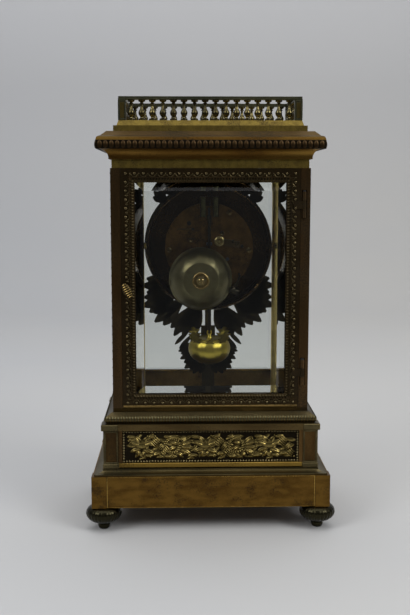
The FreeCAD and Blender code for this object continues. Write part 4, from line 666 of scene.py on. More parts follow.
class Draft:
    """Points and faces of one piece, in millimetres, gathered before they become a mesh."""

    sharp_angle = math.radians(40)
    leaf_section = (-1.0, -0.6, -0.15, 0.0, 0.15, 0.6, 1.0)
    leaf_notch = 0.5

    def __init__(self) -> None:
        """Start with nothing."""
        self.points: list[Vector] = []
        self.faces: list[tuple[int, ...]] = []
        self.relief: list[float] = []

    def grid(self, rows: Rows, heights: Sequence[Sequence[float]], ring: bool = False) -> None:
        """Add a surface of quads.

        Args:
            rows: Rows of points.
            heights: The relief value of each point.
            ring: True if each row closes on itself.
        """
        start = len(self.points)
        wide = len(rows[0])
        for row, row_heights in zip(rows, heights):
            self.points.extend(row)
            self.relief.extend(row_heights)
        steps = wide if ring else wide - 1
        for r in range(len(rows) - 1):
            for c in range(steps):
                after = (c + 1) % wide
                low, high = start + r * wide, start + (r + 1) * wide
                self.faces.append((low + c, low + after, high + after, high + c))

    def bar(self, rows: Rows, relief: float = 1.0) -> None:
        """Join rings of points into a solid that is closed at both ends.

        Args:
            rows: The rings, with the same count of points each.
            relief: The relief value of the surface.
        """
        start, wide = len(self.points), len(rows[0])
        last = start + (len(rows) - 1) * wide
        self.grid(rows, [[relief] * wide for _ in rows], True)
        self.faces.append(tuple(reversed(range(start, start + wide))))
        self.faces.append(tuple(range(last, last + wide)))

    def hoop(self, plane: Plane, radius: float, section: Profile, steps: int, relief: float = 1.0) -> None:
        """A ring round a face's origin.

        Args:
            plane: The face.
            radius: The ring's radius.
            section: How far out and how high each point of the ring's section is.
            steps: Points round the ring.
            relief: The relief value of the surface.
        """
        rows = []
        for angle in turns(steps):
            cos, sin = math.cos(angle), math.sin(angle)
            rows.append([plane.at((radius + out) * cos, (radius + out) * sin, rise) for out, rise in section])
        self.grid(rows + rows[:1], [[relief] * len(section)] * (steps + 1), True)

    def lathe(self, profile: Profile, place: Matrix, steps: int = 24,
              flutes: Callable[[float, float], float] | None = None, relief: float = 1.0) -> None:
        """Turn a profile about the place's Z axis and close both its ends.

        Args:
            profile: Radius and height of each point, from the lower end.
            place: Where the axis stands.
            steps: Points round the axis.
            flutes: Extra share of the radius for a share of the profile and an angle.
            relief: The relief value of the surface.
        """
        rows = []
        for index, (radius, height) in enumerate(profile):
            share = index / (len(profile) - 1)
            row = []
            for angle in turns(steps):
                out = radius * (1 + (flutes(share, angle) if flutes else 0.0))
                row.append(place @ Vector((out * math.cos(angle), out * math.sin(angle), height)))
            rows.append(row)
        self.bar(rows, relief)

    def dome(self, place: Matrix, long: float, wide: float, high: float, steps: int = 10,
             rings: int = 4) -> None:
        """A mound: half an ellipsoid that stands on the place's XY plane, its foot sunk in the ground.

        Args:
            place: Where the mound stands.
            long: Half length along X.
            wide: Half width along Y.
            high: Height along Z.
            steps: Points round it.
            rings: Rows from foot to top.
        """
        sink = 0.3
        rows, heights = [], []
        for ring in range(rings):
            tilt = math.pi / 2 * ring / rings
            cos, sin = math.cos(tilt), math.sin(tilt)
            level = high * sin if ring else -sink
            rows.append([place @ Vector((long * cos * math.cos(angle), wide * cos * math.sin(angle), level))
                         for angle in turns(steps)])
            heights.append([sin] * steps)
        start = len(self.points)
        self.grid(rows, heights, True)
        top = len(self.points)
        self.points.append(place @ Vector((0.0, 0.0, high)))
        self.relief.append(1.0)
        last = start + (rings - 1) * steps
        for step in range(steps):
            self.faces.append((last + step, last + (step + 1) % steps, top))
        self.faces.append(tuple(reversed(range(start, start + steps))))

    def bead(self, place: Matrix, radius: float, high: float) -> None:
        """A small round mound."""
        self.dome(place, radius, radius, high, 8, 3)

    def tube(self, path: Sequence[Vector], radius: float, normal: Vector, steps: int = 6,
             relief: float = 1.0) -> None:
        """A round bar along a path, closed at both ends.

        Args:
            path: The points of the bar's middle.
            radius: Its radius.
            normal: A direction that is never along the path.
            steps: Points round it.
            relief: The relief value of its surface.
        """
        rows = []
        for index, point in enumerate(path):
            before, after = path[max(index - 1, 0)], path[min(index + 1, len(path) - 1)]
            along = (after - before).normalized()
            side = along.cross(normal).normalized()
            lift = side.cross(along)
            rows.append([point + (side * math.cos(angle) + lift * math.sin(angle)) * radius
                         for angle in turns(steps)])
        self.bar(rows, relief)

    def block(self, place: Matrix, long: float, wide: float, high: float, ease: float = 0.3,
              relief: float = 1.0) -> None:
        """A flat bar with eased upper edges, centred on the place and standing on its XY plane.

        Args:
            place: Where it stands.
            long: Length along X.
            wide: Width along Y.
            high: Height along Z.
            ease: How far the upper edges are cut back.
            relief: The relief value of its surface.
        """
        rows = []
        for shrink, height in ((0.0, 0.0), (0.0, high - ease), (ease, high)):
            outline = corners(long / 2 - shrink, wide / 2 - shrink)
            rows.append([place @ Vector((x, y, height)) for x, y in outline])
        self.bar(rows, relief)

    def leaf(self, place: Matrix, long: float, wide: float, high: float, lobes: int = 0, curl: float = 0.0,
             depth: float = 0.3, belly: float = 0.45, rows: int = 8) -> None:
        """A leaf that lies on the place's XY plane from its origin along X, with a ridged middle.

        Args:
            place: Where the leaf starts.
            long: Its length.
            wide: Its greatest width.
            high: How high the middle stands.
            lobes: Points along each edge, 0 for a plain leaf.
            curl: How far the tip bends up.
            depth: How far the leaf goes down behind its plane.
            belly: Where it is widest, as a share of its length.
            rows: Steps along it.
        """
        front, back, heights = [], [], []
        power = math.log(0.5) / math.log(belly)
        rows = max(rows, lobes * 10)
        for row in range(rows + 1):
            share = row / rows
            swell = math.sin(math.pi * min(max(share, 0.012), 0.988) ** power)
            gap = 0.5 + 0.5 * math.cos(2 * math.pi * (lobes + 0.5) * share) if lobes else 0.0
            half = wide / 2 * swell ** 0.7 * (1.0 - self.leaf_notch * gap)
            lean = 0.25 * long / lobes * (1.0 - gap) * swell if lobes else 0.0
            bend = curl * share ** 2
            line, line_heights, under_line = [], [], []
            for v in self.leaf_section:
                body = (1.0 - v * v) ** 0.6 * (0.35 + 0.65 * swell)
                rib = 0.25 * math.exp(-(v / 0.12) ** 2) - 0.12 * math.exp(-((abs(v) - 0.15) / 0.1) ** 2)
                x, y = long * share + lean * v * v, half * v
                line.append(place @ Vector((x, y, bend + high * (body + rib))))
                line_heights.append(min(1.0, 0.15 + 0.85 * body))
                under_line.insert(0, place @ Vector((x, y, bend - depth)))
            front.append(line)
            heights.append(line_heights)
            back.append(under_line)
        count = len(self.leaf_section)
        start = len(self.points)
        self.grid(front, heights)
        under = len(self.points)
        self.grid(back, [[0.2] * count] * (rows + 1))
        edge = count - 1
        for row in range(start, start + rows * count, count):
            below = row - start + under
            self.faces.append((row, row + count, below + edge + count, below + edge))
            self.faces.append((row + edge + count, row + edge, below, below + count))
        self.faces.append((*range(start, start + count), *range(under, under + count)))
        ends = (under - count, under + rows * count)
        self.faces.append(tuple(first + c for first in ends for c in reversed(range(count))))

    def piece(self, name: str, finish: Finish, body: str = "case", flat: bool = False) -> bpy.types.Object:
        """Make the gathered mesh a piece that rides on a body.

        Args:
            name: The piece's name.
            finish: Its finish.
            body: The body that carries it.
            flat: True to leave the faces flat.

        Returns:
            The piece.
        """
        mesh = bpy.data.meshes.new(name)
        mesh.from_pydata([point * MM for point in self.points], [], self.faces)
        mesh.validate()
        shape = bmesh.new()
        shape.from_mesh(mesh)
        bmesh.ops.recalc_face_normals(shape, faces=shape.faces)
        shape.to_mesh(mesh)
        shape.free()
        mesh.attributes.new(RELIEF, "FLOAT", "POINT").data.foreach_set("value", self.relief)
        if not flat:
            mesh.shade_smooth()
            mesh.set_sharp_from_angle(angle=self.sharp_angle)
        mesh.materials.append(finish.material())
        made = bpy.data.objects.new(name, mesh)
        bpy.context.scene.collection.objects.link(made)
        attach(made, body)
        LOG.info("%s: %d faces on %s", name, len(mesh.polygons), body)
        return made


@dataclass(frozen=True)
class Station:
    """A place on a rectangle in a face, with the angle of its side; corner marks the rectangle's corners."""

    u: float
    v: float
    along: float
    corner: bool


def stations(half_wide: float, half_high: float, pitch: float, in_corners: bool = True) -> list[Station]:
    """Even places round a rectangle.

    Args:
        half_wide: Half its width.
        half_high: Half its height.
        pitch: About how far apart the places are.
        in_corners: True to put a place on each corner.

    Returns:
        The places, each with the angle of its side.
    """
    made = []
    for turn, angle in enumerate(turns(4)):
        run, reach = (half_high, half_wide) if turn % 2 else (half_wide, half_high)
        for index, along in enumerate(spread(run, pitch, 0.0 if in_corners else 0.5)):
            u = along * math.cos(angle) + reach * math.sin(angle)
            v = along * math.sin(angle) - reach * math.cos(angle)
            made.append(Station(u, v, angle, in_corners and index == 0))
    return made


def span(node: str) -> tuple[Vector, Vector]:
    """A node's lowest and highest corner in millimetres."""
    low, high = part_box(node)
    return low / MM, high / MM


def around(node: str, grow: float = 0.0) -> Iterator[tuple[Side, float, float]]:
    """Go round the sides of a node that stands on the middle of the case.

    Args:
        node: The node.
        grow: How much to add to its reach.

    Yields:
        The side, how far the node reaches there and half its run along that side.
    """
    high = span(node)[1]
    for side in Side:
        yield side, high[side.axis] + grow, high[side.run_axis] + grow


@dataclass
class GlazedFrames:
    """Bead rows, scallops and leaf mouldings on doors and side frames, their panes and the latch knobs."""

    bead_pitch: float = 9.0
    bead_radius: float = 1.75
    bead_inset: float = 5.2
    bead_rise: float = 1.5
    dart_size: tuple[float, float, float] = (0.6, 1.9, 0.9)
    scallop_radius: float = 3.5
    scallop_bar: float = 0.6
    leaf_pitch: float = 3.0
    leaf_inset: float = 8.9
    leaf_fall: float = 2.0
    leaf_share: float = 0.42
    leaf_rise: float = 0.95
    border: float = 14.3
    rebate: float = 2.85
    bevel_wide: float = 8.5
    bevel_deep: float = 4.7
    pane_ease: float = 0.02
    sill_high: float = 2.4
    sill_deep: float = 1.1
    knob_half_long: float = 8.3
    knob_half_wide: float = 4.5
    knob_rise: float = 2.3
    knob_turn: float = math.radians(118)
    ridges: int = 7
    ridge_bar: float = 0.55
    frames: dict[str, tuple[Side, str, float]] = field(default_factory=lambda: {
        "rear_door_frame": (Side.BACK, "rear_door", 8.0), "front_door_frame": (Side.FRONT, "front_door", 8.0),
        "side_frame_left": (Side.LEFT, "case", 7.0), "side_frame_right": (Side.RIGHT, "case", 7.0)})

    def build(self) -> None:
        """Dress the four frames and the two knobs."""
        for node, (side, body, thick) in self.frames.items():
            self.dress_frame(node, side, body, thick)
            self.pane(self.pane_name(node), side, body)
        self.dress_knob("rear_latch", Side.BACK)
        self.dress_knob("front_latch", Side.FRONT)

    @staticmethod
    def pane_name(node: str) -> str:
        """The node of the pane that a frame holds."""
        return node.replace("_door_frame", "_glass").replace("_frame", "_glass")

    def dress_frame(self, node: str, side: Side, body: str, thick: float) -> None:
        """Beads, scallops and leaves on one frame, and a sill along the foot of a door.

        Args:
            node: The frame's node.
            side: The side that it faces.
            body: The body that it belongs to.
            thick: Thickness of the frame's flat margin.
        """
        low, high = span(node)
        glass_low, glass_high = span(self.pane_name(node))
        middle = (glass_low + glass_high) / 2
        plane = face_of(side, side.inner(low, high) + thick, middle.z, middle)
        half_high = (high.z - low.z) / 2
        # Hinge leaves widen a door's own box, so the width comes from its pane.
        half_wide = (glass_high - glass_low)[side.run_axis] / 2 + self.border - self.rebate
        beads, leaves = Draft(), Draft()
        for place in stations(half_wide - self.bead_inset, half_high - self.bead_inset, self.bead_pitch):
            spot = plane.turned(place.u, place.v, 0.0, place.along)
            beads.dome(spot, self.bead_radius, self.bead_radius, self.bead_rise)
            if not place.corner:
                self.add_scallop(beads, spot)
                beads.dome(spot @ Matrix.Translation((self.bead_pitch / 2, 1.0, 0.0)), *self.dart_size, 8, 3)
        leaf_long = self.border - self.leaf_inset
        tilt = Matrix.Rotation(math.atan2(self.leaf_fall, leaf_long), 4, "Y")
        inset = (self.leaf_inset + self.border) / 2
        for place in stations(half_wide - inset, half_high - inset, self.leaf_pitch, False):
            spot = plane.turned(place.u, place.v, -0.35, place.along + math.pi / 2)
            leaves.dome(spot @ tilt, leaf_long / 2, self.leaf_pitch * self.leaf_share, self.leaf_rise, 8, 3)
        if body != "case":
            sill = Draft()
            spot = plane.turned(0.0, self.sill_high / 2 - half_high, -0.1)
            sill.block(spot, 2 * half_wide - 1.0, self.sill_high, self.sill_deep, 0.45)
            sill.piece(f"{node}_sill", DOOR_FILLET_GILT, body)
        beads.piece(f"{node}_beads", BEAD_GILT, body)
        leaves.piece(f"{node}_leaves", LEAF_GILT, body)

    def pane(self, node: str, side: Side, body: str) -> None:
        """A pane with a wide ground bevel, in place of the plain one.

        Args:
            node: The pane's node.
            side: The side that it faces.
            body: The body that it belongs to.
        """
        low, high = span(node)
        middle, size = (low + high) / 2, high - low
        thick = size[side.axis]
        plane = face_of(side, side.inner(low, high), middle.z, middle)
        foot = thick - self.bevel_deep
        bevel_top = (self.rebate + self.bevel_wide, thick - self.pane_ease)
        rows = []
        for inset, rise in ((0.0, 0.0), (0.0, foot), (self.rebate, foot), bevel_top):
            outline = corners(size[side.run_axis] / 2 - inset, size.z / 2 - inset)
            rows.append([plane.at(u, v, rise) for u, v in outline])
        draft = Draft()
        draft.bar(rows)
        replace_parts(draft.piece(f"{node}_pane", GLASS, body, True), node)

    def add_scallop(self, draft: Draft, spot: Matrix) -> None:
        """A raised arc round the inner half of a bead.

        Args:
            draft: The mesh that it joins.
            spot: The bead's place.
        """
        radius = self.scallop_radius
        path = [spot @ Vector((radius * math.cos(angle), radius * math.sin(angle), 0.2))
                for angle in arc(math.pi * 0.06, math.pi * 0.94, 9)]
        draft.tube(path, self.scallop_bar, spot.to_3x3() @ UP, 5, 0.6)

    def dress_knob(self, node: str, side: Side) -> None:
        """A shell-shaped oval grip over a latch knob, with ridges across it.

        Args:
            node: The latch's node.
            side: The side that it faces.
        """
        low, high = span(node)
        middle = (low + high) / 2
        plane = face_of(side, side.outer(low, high) - 2.6, middle.z + 0.2, middle)
        place = plane.turned(0.0, 0.0, 0.0, self.knob_turn)
        over = arc(0.0, math.pi, 9)
        draft = Draft()
        for index in range(self.ridges):
            shift = (index - self.ridges // 2) / 3.6
            half = math.sqrt(1 - shift * shift)
            x, y, z = self.knob_half_long * shift, self.knob_half_wide * half, self.knob_rise * half
            path = [place @ Vector((x, y * math.cos(angle), z * math.sin(angle))) for angle in over]
            draft.tube(path, self.ridge_bar, place.to_3x3() @ Vector((1, 0, 0)))
        draft.piece(f"{node}_ridges", KNOB_GILT, node)


@dataclass
class Scrollwork:
    """The relief of one frieze panel: ribbon ties, pleated rings and leaf fans on a leafy ground."""

    ground: Plane
    half_run: float
    half_tall: float
    draft: Draft = field(default_factory=Draft)
    unit_long: float = 67.0
    first_tie: float = -52.6
    units: Sequence[int] = range(-2, 4)
    fill_pitch: float = 6.4
    fill_long: float = 10.5
    fill_rows: Table = ((7.0, 10.0), (1.0, 190.0), (-6.0, -8.0), (-9.0, 170.0))
    leaves: Table = (
        (7.0, 9.0, 8, 14, 5.0), (9.0, -4.5, 35, 9, 4.6), (17.5, 2.5, 165, 9, 4.4),
        (20.0, 2.0, 44, 13, 4.8), (20.5, 1.0, 20, 14, 5.2), (21.0, -1.0, -2, 14, 5.2),
        (20.0, -3.0, -24, 14, 5.0), (18.0, -6.5, -44, 8, 4.4), (47.0, 2.0, 128, 12, 5.4),
        (46.0, 1.0, 158, 13, 5.6), (46.0, -2.0, 198, 12, 5.2), (46.0, -4.0, 232, 10, 5.0),
        (48.0, 2.0, 62, 10, 5.2), (48.0, 1.0, 24, 13, 5.6), (48.0, -3.0, -20, 13, 5.4),
        (47.0, -5.0, -58, 8, 4.8), (54.0, 0.8, 178, 15, 7.2), (2.0, -10.2, -6, 12, 4.6),
        (-9.0, -9.6, 16, 11, 4.6), (28.0, -10.6, 5, 12, 4.4), (31.0, 10.8, -6, 12, 4.4),
        (59.0, -10.4, 175, 11, 4.4), (-4.0, 10.9, 184, 10, 4.2), (3.0, 10.8, -10, 9, 4.2))
    berries: Table = (
        (33.0, 6.5), (35.8, 0.5), (53.0, 11.4), (24.6, -7.6), (34.6, 3.6), (29.4, 8.6), (27.4, -6.2),
        (56.0, -11.2), (6.6, -11.4), (9.4, -11.0), (-3.4, 8.4), (17.0, 11.4))
    ring_place: tuple[float, float] = (12.0, 0.8)
    ring_radius: float = 7.6
    ring_berry_radius: float = 10.9
    ribbon_fall: float = math.radians(-43)
    ribbon_halves: Table = ((-7.6, 6.0), (6.6, 5.0))
    ribbon_pleat: float = 1.75
    band_strands: tuple[float, ...] = (-1.5, 0.0, 1.5)
    berry_size: tuple[float, float] = (1.1, 1.5)
    small_berry_size: tuple[float, float] = (0.8, 1.2)
    pleat_size: tuple[float, float, float] = (2.5, 1.15, 1.5)

    def build(self) -> Draft:
        """Carve the panel.

        Returns:
            The relief's mesh.
        """
        self.fill_ground()
        for unit in self.units:
            self.add_unit(self.first_tie + unit * self.unit_long)
        return self.draft

    def fill_ground(self) -> None:
        """Low leaves all over the ground, in rows that lean by turns."""
        for column in range(round(2 * self.half_run / self.fill_pitch)):
            for row, (v, lean) in enumerate(self.fill_rows):
                u = -self.half_run + 3.0 + self.fill_pitch * column + 2.4 * row
                turn = math.radians(lean + 40 * math.sin(2.4 * column + row))
                tip_u, tip_v = u + self.fill_long * math.cos(turn), v + self.fill_long * math.sin(turn)
                if max(abs(u), abs(tip_u)) < self.half_run and abs(tip_v) < self.half_tall:
                    spot = self.ground.turned(u, v, -0.1, turn)
                    self.draft.leaf(spot, self.fill_long, 4.6, 0.6, curl=0.1, depth=0.2, rows=6)

    def add_unit(self, tie: float) -> None:
        """One repeat of the pattern, without what would pass the panel's ends.

        Args:
            tie: Where its ribbon tie is.
        """
        for u, v, lean, long, wide in self.leaves:
            turn = math.radians(lean)
            root, tip = tie + u, tie + u + long * math.cos(turn)
            if max(abs(root), abs(tip)) <= self.half_run:
                spot = self.ground.turned(root, v, 0.15, turn)
                self.draft.leaf(spot, long, wide, 1.15, curl=0.2, depth=0.35)
        limit = self.half_tall - 1
        for u, v in self.berries:
            if abs(tie + u) < self.half_run - 1.0:
                self.draft.bead(self.ground.turned(tie + u, max(min(v, limit), -limit)), *self.berry_size)
        ring_u, ring_v = self.ring_place
        if abs(tie + ring_u) < self.half_run - 9.0:
            self.add_ring(self.ground.moved(tie + ring_u, ring_v))
        if abs(tie) < self.half_run - 2.0:
            self.add_tie(tie)

    def add_ring(self, middle: Plane) -> None:
        """An open ring of pleats with a row of small berries under it.

        Args:
            middle: The ground at the ring's middle.
        """
        for angle in turns(20):
            spot = middle.polar(self.ring_radius, angle, 0.0, angle + 0.5)
            self.draft.dome(spot, *self.pleat_size, 8, 3)
        for angle in arc(math.radians(-160), math.radians(-20), 7):
            self.draft.bead(middle.polar(self.ring_berry_radius, angle), *self.small_berry_size)

    def add_tie(self, u: float) -> None:
        """A pleated ribbon that falls across the panel, and the bright band that binds it.

        Args:
            u: Where the band is.
        """
        fall = self.ribbon_fall
        ribbon, band = (self.ground.turned(u, 0.0, rise, fall) for rise in (0.2, 0.5))
        for pleat in range(-2, 3):
            shift = pleat * self.ribbon_pleat
            for along, half_long in self.ribbon_halves:
                middle = u + along * math.cos(fall) - shift * math.sin(fall)
                if abs(middle) <= self.half_run - 3.5:
                    spot = ribbon @ Matrix.Translation((along, shift * 1.15, 0.0))
                    self.draft.dome(spot, half_long, 0.8, 1.5, 10, 3)
        for strand in self.band_strands:
            self.draft.dome(band @ Matrix.Translation((strand, 0.0, 0.0)), 0.85, 5.2, 1.7)


@dataclass
class BaseOrnament:
    """Reeded ledge, frieze panels with their bead borders, fillets, pilaster trims and the feet."""

    reed_pitch: float = 3.0
    reed_radius: float = 0.95
    reed_neck: float = 6.6
    reed_half_angle: float = math.radians(52)
    torus_low: float = 7.8
    torus_high: float = 14.5
    torus_swell: float = 0.58
    fillet_high: float = 4.9
    fillet_gap: float = 0.9
    fillet_deep: float = 2.0
    ground_deep: float = 1.6
    end_bar: float = 4.3
    border_pitch: float = 3.0
    border_bead: tuple[float, float] = (1.25, 1.55)
    border_inset: tuple[float, float] = (1.4, 1.7)
    relief_inset: float = 1.6
    cap_size: tuple[float, ...] = (17.0, 6.4, 1.4, 0.5)
    cap_inset: float = 7.9
    cap_rise: float = 3.4
    pilaster_wide: float = 15.0
    trim_sink: float = -0.2
    corner_block: float = 16.2
    foot_radius: float = 19.0
    foot_flutes: int = 14
    foot_profile: Profile = (
        (0.5, 0.0), (4.2, 0.0), (5.7, 1.2), (6.4, 3.2), (6.3, 5.2), (5.7, 6.6), (6.4, 7.4), (10.0, 8.1),
        (13.4, 9.4), (16.2, 11.6), (18.0, 14.2), (18.8, 17.0), (18.4, 19.8), (17.0, 22.2), (14.6, 24.0),
        (11.5, 24.8), (9.0, 25.0), (0.5, 25.0))

    def build(self) -> None:
        """Dress the base from the ledge down."""
        self.reeds()
        for side in Side:
            self.frieze(side)
        self.pilasters()
        self.seams()
        self.feet()

    def reeds(self) -> None:
        """Fine upright reeds round the ledge's torus."""
        draft = Draft()
        torus = self.torus_high - self.torus_low
        height = span("ledge")[0].z + (self.torus_low + self.torus_high) / 2
        radius = torus * self.torus_swell
        back = math.sqrt(radius ** 2 - (torus / 2) ** 2) + 0.25
        bend = arc(-self.reed_half_angle, self.reed_half_angle, 5)
        for side, reach, run in around("floor_plate", self.reed_neck):
            plane = face_of(side, reach, height)
            for u in spread(run, self.reed_pitch) + [run]:
                path = [plane.at(u, radius * math.sin(angle), radius * math.cos(angle) - back)
                        for angle in bend]
                draft.tube(path, self.reed_radius, plane.across)
        draft.piece("ledge_reeds", REED_GILT)

    def frieze(self, side: Side) -> None:
        """One frieze panel: a near-black ground of painted shade, bead border, lower fillet, end bars and the
        relief.

        Args:
            side: The side that it faces.
        """
        name = side.name.lower()
        node = f"frieze_panel_{name}"
        low, high = span(node)
        run, thick = (high - low)[side.run_axis], (high - low)[side.axis]
        foot = span("frieze_block")[0].z + self.fillet_gap
        tall = high.z - foot - self.fillet_high
        plane = face_of(side, side.outer(low, high) - thick, foot + self.fillet_high + tall / 2)
        lift = thick - self.ground_deep
        bed, border, fillet, bars = Draft(), Draft(), Draft(), Draft()
        bed.block(plane.turned(0.0, -self.fillet_high / 2), run, tall + self.fillet_high, lift, 0.1, 0.0)
        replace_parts(bed.piece(f"frieze_bed_{name}", PAINTED_SHADE_GROUND, flat=True), node)
        inset_u, inset_v = self.border_inset
        half_run, half_tall = run / 2 - self.end_bar - inset_u, tall / 2 - inset_v
        for place in stations(half_run, half_tall, self.border_pitch):
            border.bead(plane.turned(place.u, place.v, lift), *self.border_bead)
        border.piece(f"frieze_border_{name}", BORDER_GILT)
        spot = plane.turned(0.0, -tall / 2 - self.fillet_high / 2, lift - 0.4)
        fillet.block(spot, run, self.fillet_high, self.fillet_deep, 0.5)
        fillet.piece(f"frieze_fillet_{name}", FILLET_GILT)
        for end in ENDS:
            bars.block(plane.turned(end * (run - self.end_bar) / 2, 0.0), self.end_bar, tall, thick - 0.1)
        bars.piece(f"frieze_end_bars_{name}", BLOCK_GILT)
        ground = plane.moved(0.0, 0.0, lift)
        relief = Scrollwork(ground, half_run - self.relief_inset, half_tall - self.relief_inset).build()
        relief.piece(f"frieze_relief_{name}", RELIEF_GILT)

    def pilasters(self) -> None:
        """Raised borders, caps and feet on the corner pilasters of the frieze."""
        low, high = span("frieze_block")
        cap_low, cap_high = span("ledge")
        trims = Draft()
        wide, tall = self.pilaster_wide, high.z - low.z
        # Each bar: shift across, height of its middle, length across, height, depth and eased edge.
        bars = [(edge * (wide / 2 - 1.1), 2.6, 1.7, tall - 6.0, 0.95, 0.3) for edge in ENDS]
        bars += [(0.0, tall / 2 - 1.2, wide - 0.6, 2.0, 0.95, 0.3),
                 (0.0, 2.7 - tall / 2, wide + 1.6, 5.2, 1.7, 0.7),
                 (0.0, 6.2 - tall / 2, wide + 0.4, 1.6, 1.2, 0.5)]
        for side in Side:
            face = face_of(side, high[side.axis], (low.z + high.z) / 2)
            cap = face_of(side, cap_high[side.axis], cap_low.z + self.cap_rise)
            for end in ENDS:
                u = end * (high[side.run_axis] - wide / 2)
                for shift, v, *size in bars:
                    trims.block(face.turned(u + shift, v, self.trim_sink), *size)
                spot = cap.turned(end * (cap_high[side.run_axis] - self.cap_inset), 0.0, self.trim_sink)
                trims.block(spot, *self.cap_size)
        trims.piece("pilaster_trims", STONE_GILT)

    def seams(self) -> None:
        """Gilt lines round the plinth's four panels, beside its corner blocks."""
        low, high = span("plinth")
        gilt = Draft()
        half_tall = (high.z - low.z) / 2 - 0.6
        for side, reach, run in around("plinth"):
            face = face_of(side, reach - 1.0, (low.z + high.z) / 2)
            ends = [face.at(u, v) for u, v in corners(run - self.corner_block, half_tall)]
            for index, start in enumerate(ends):
                gilt.tube([start, ends[(index + 1) % 4]], 0.75 if index % 2 else 0.35, face.out, 8)
        gilt.piece("plinth_seams", SEAM_GILT)

    def gadroon(self, share: float, angle: float) -> float:
        """How much a foot's disc swells between its flutes."""
        mask = math.exp(-((share - 0.55) / 0.17) ** 2)
        return 0.01 * mask - 0.055 * mask * (1 - abs(math.cos(angle * self.foot_flutes)) ** 0.7)

    def feet(self) -> None:
        """Four turned feet with gadrooned discs, in place of the plain ones."""
        high = span("feet")[1]
        draft = Draft()
        for x in ENDS:
            for y in ENDS:
                place = (x * (high.x - self.foot_radius), y * (high.y - self.foot_radius), 0.0)
                draft.lathe(self.foot_profile, Matrix.Translation(place), 112, self.gadroon, 0.8)
        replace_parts(draft.piece("turned_feet", FOOT_GILT), "feet")


@dataclass
class TopOrnament:
    """Egg row on the cornice, panels and trims on the gallery posts and rail, and the balusters."""

    egg_pitch: float = 5.95
    egg_half_high: float = 4.2
    egg_rise: float = 14.4
    egg_reach: float = 12.0
    egg_share: float = 0.46
    egg_swell: float = 1.5
    band_deep: float = 2.5
    baluster_pitch: float = 10.7
    post_wide: float = 7.6
    trim_sink: float = -0.15
    trim_deep: float = 0.6
    rail_bead: float = 0.55
    baluster_profile: Profile = (
        (0.3, 0.0), (3.6, 0.0), (3.6, 0.07), (2.9, 0.10), (1.7, 0.12), (1.5, 0.16), (1.9, 0.19),
        (2.9, 0.25), (3.5, 0.33), (3.5, 0.40), (2.9, 0.47), (2.1, 0.54), (1.6, 0.62), (1.4, 0.72),
        (1.4, 0.78), (2.3, 0.80), (2.4, 0.83), (1.6, 0.85), (1.6, 0.88), (3.0, 0.91), (3.6, 0.94),
        (3.6, 1.0), (0.3, 1.0))

    def build(self) -> None:
        """Dress the cornice and the gallery."""
        self.eggs()
        self.gallery_trim()
        self.balusters()

    def eggs(self) -> None:
        """A row of long eggs on a dark band that paints the shade between them, on the cornice's round."""
        eggs, band = Draft(), Draft()
        middle = span("cornice")[0].z + self.egg_rise
        for side, reach, run in around("floor_plate", self.egg_reach):
            plane = face_of(side, reach, middle)
            spot = plane.turned(0.0, 0.0, -1.0)
            band.block(spot, 2 * run + 2.4, 2 * self.egg_half_high + 0.4, self.band_deep)
            for u in spread(run, self.egg_pitch, 0.5):
                spot = plane.turned(u, 0.0, 1.3, math.pi / 2)
                eggs.dome(spot, self.egg_half_high, self.egg_pitch * self.egg_share, self.egg_swell, 12, 5)
        band.piece("cornice_egg_shade_band", PAINTED_SHADE_GROUND)
        eggs.piece("cornice_eggs", EGG_GILT)

    def gallery_trim(self) -> None:
        """Raised borders round a panel on each face of the corner posts, and a bead under the rail."""
        low, high = span("gallery_posts")
        wide, tall = self.post_wide, high.z - low.z
        trims, panels = Draft(), Draft()
        # Each bar: shift across, height of its middle, length across and height.
        bars = [(0.0, end * (tall / 2 - 1.0), wide - 0.6, 1.6) for end in ENDS]
        bars += [(edge * (wide / 2 - 0.9), 0.0, 1.2, tall - 3.6) for edge in ENDS]
        for side in Side:
            plane = face_of(side, high[side.axis], (low.z + high.z) / 2)
            for end in ENDS:
                u = end * (high[side.run_axis] - wide / 2)
                panels.block(plane.turned(u, -0.4, -0.25), wide - 3.4, tall - 5.0, 0.6, 0.2)
                for shift, v, bar_long, bar_high in bars:
                    spot = plane.turned(u + shift, v, self.trim_sink)
                    trims.block(spot, bar_long, bar_high, self.trim_deep)
        for side, reach, run in around("gallery_rail"):
            rail = face_of(side, reach - 0.1, span("gallery_rail")[0].z + 0.5)
            trims.tube([rail.at(-run, 0.0), rail.at(run, 0.0)], self.rail_bead, rail.out)
        trims.piece("gallery_trim", GALLERY_GILT)
        panels.piece("gallery_post_panels", POST_PANEL_GILT)

    def balusters(self) -> None:
        """Turned balusters with a ring, a round belly and a slim neck, in place of the plain ones."""
        low, high = span("gallery_posts")
        turned = [(radius, share * (high.z - low.z)) for radius, share in self.baluster_profile]
        draft = Draft()
        for axis in (0, 1):
            across = high[1 - axis] - self.post_wide / 2
            for along in spread(high[axis] - self.post_wide, self.baluster_pitch, 0.5):
                for side in (-across, across):
                    place = (side, along, low.z) if axis else (along, side, low.z)
                    draft.lathe(turned, Matrix.Translation(place), 16)
        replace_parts(draft.piece("turned_balusters", BALUSTER_GILT), "gallery_balusters")


def stud(radius: float, tall: float) -> Profile:
    """The profile of a screw's head with an eased edge."""
    return (0.2, 0.0), (radius, 0.0), (radius, tall - 0.5), (radius - 0.5, tall - 0.1), (0.2, tall)


def bush(radius: float) -> Profile:
    """The profile of a turned bush with a dished face."""
    shares = ((0.3, 2.0), (0.3, 1.2), (0.55, 1.9), (0.62, 2.6), (0.8, 2.8), (1.0, 2.2), (1.0, 0.0),
              (0.3, 0.0))
    return [(radius * share, height) for share, height in shares]


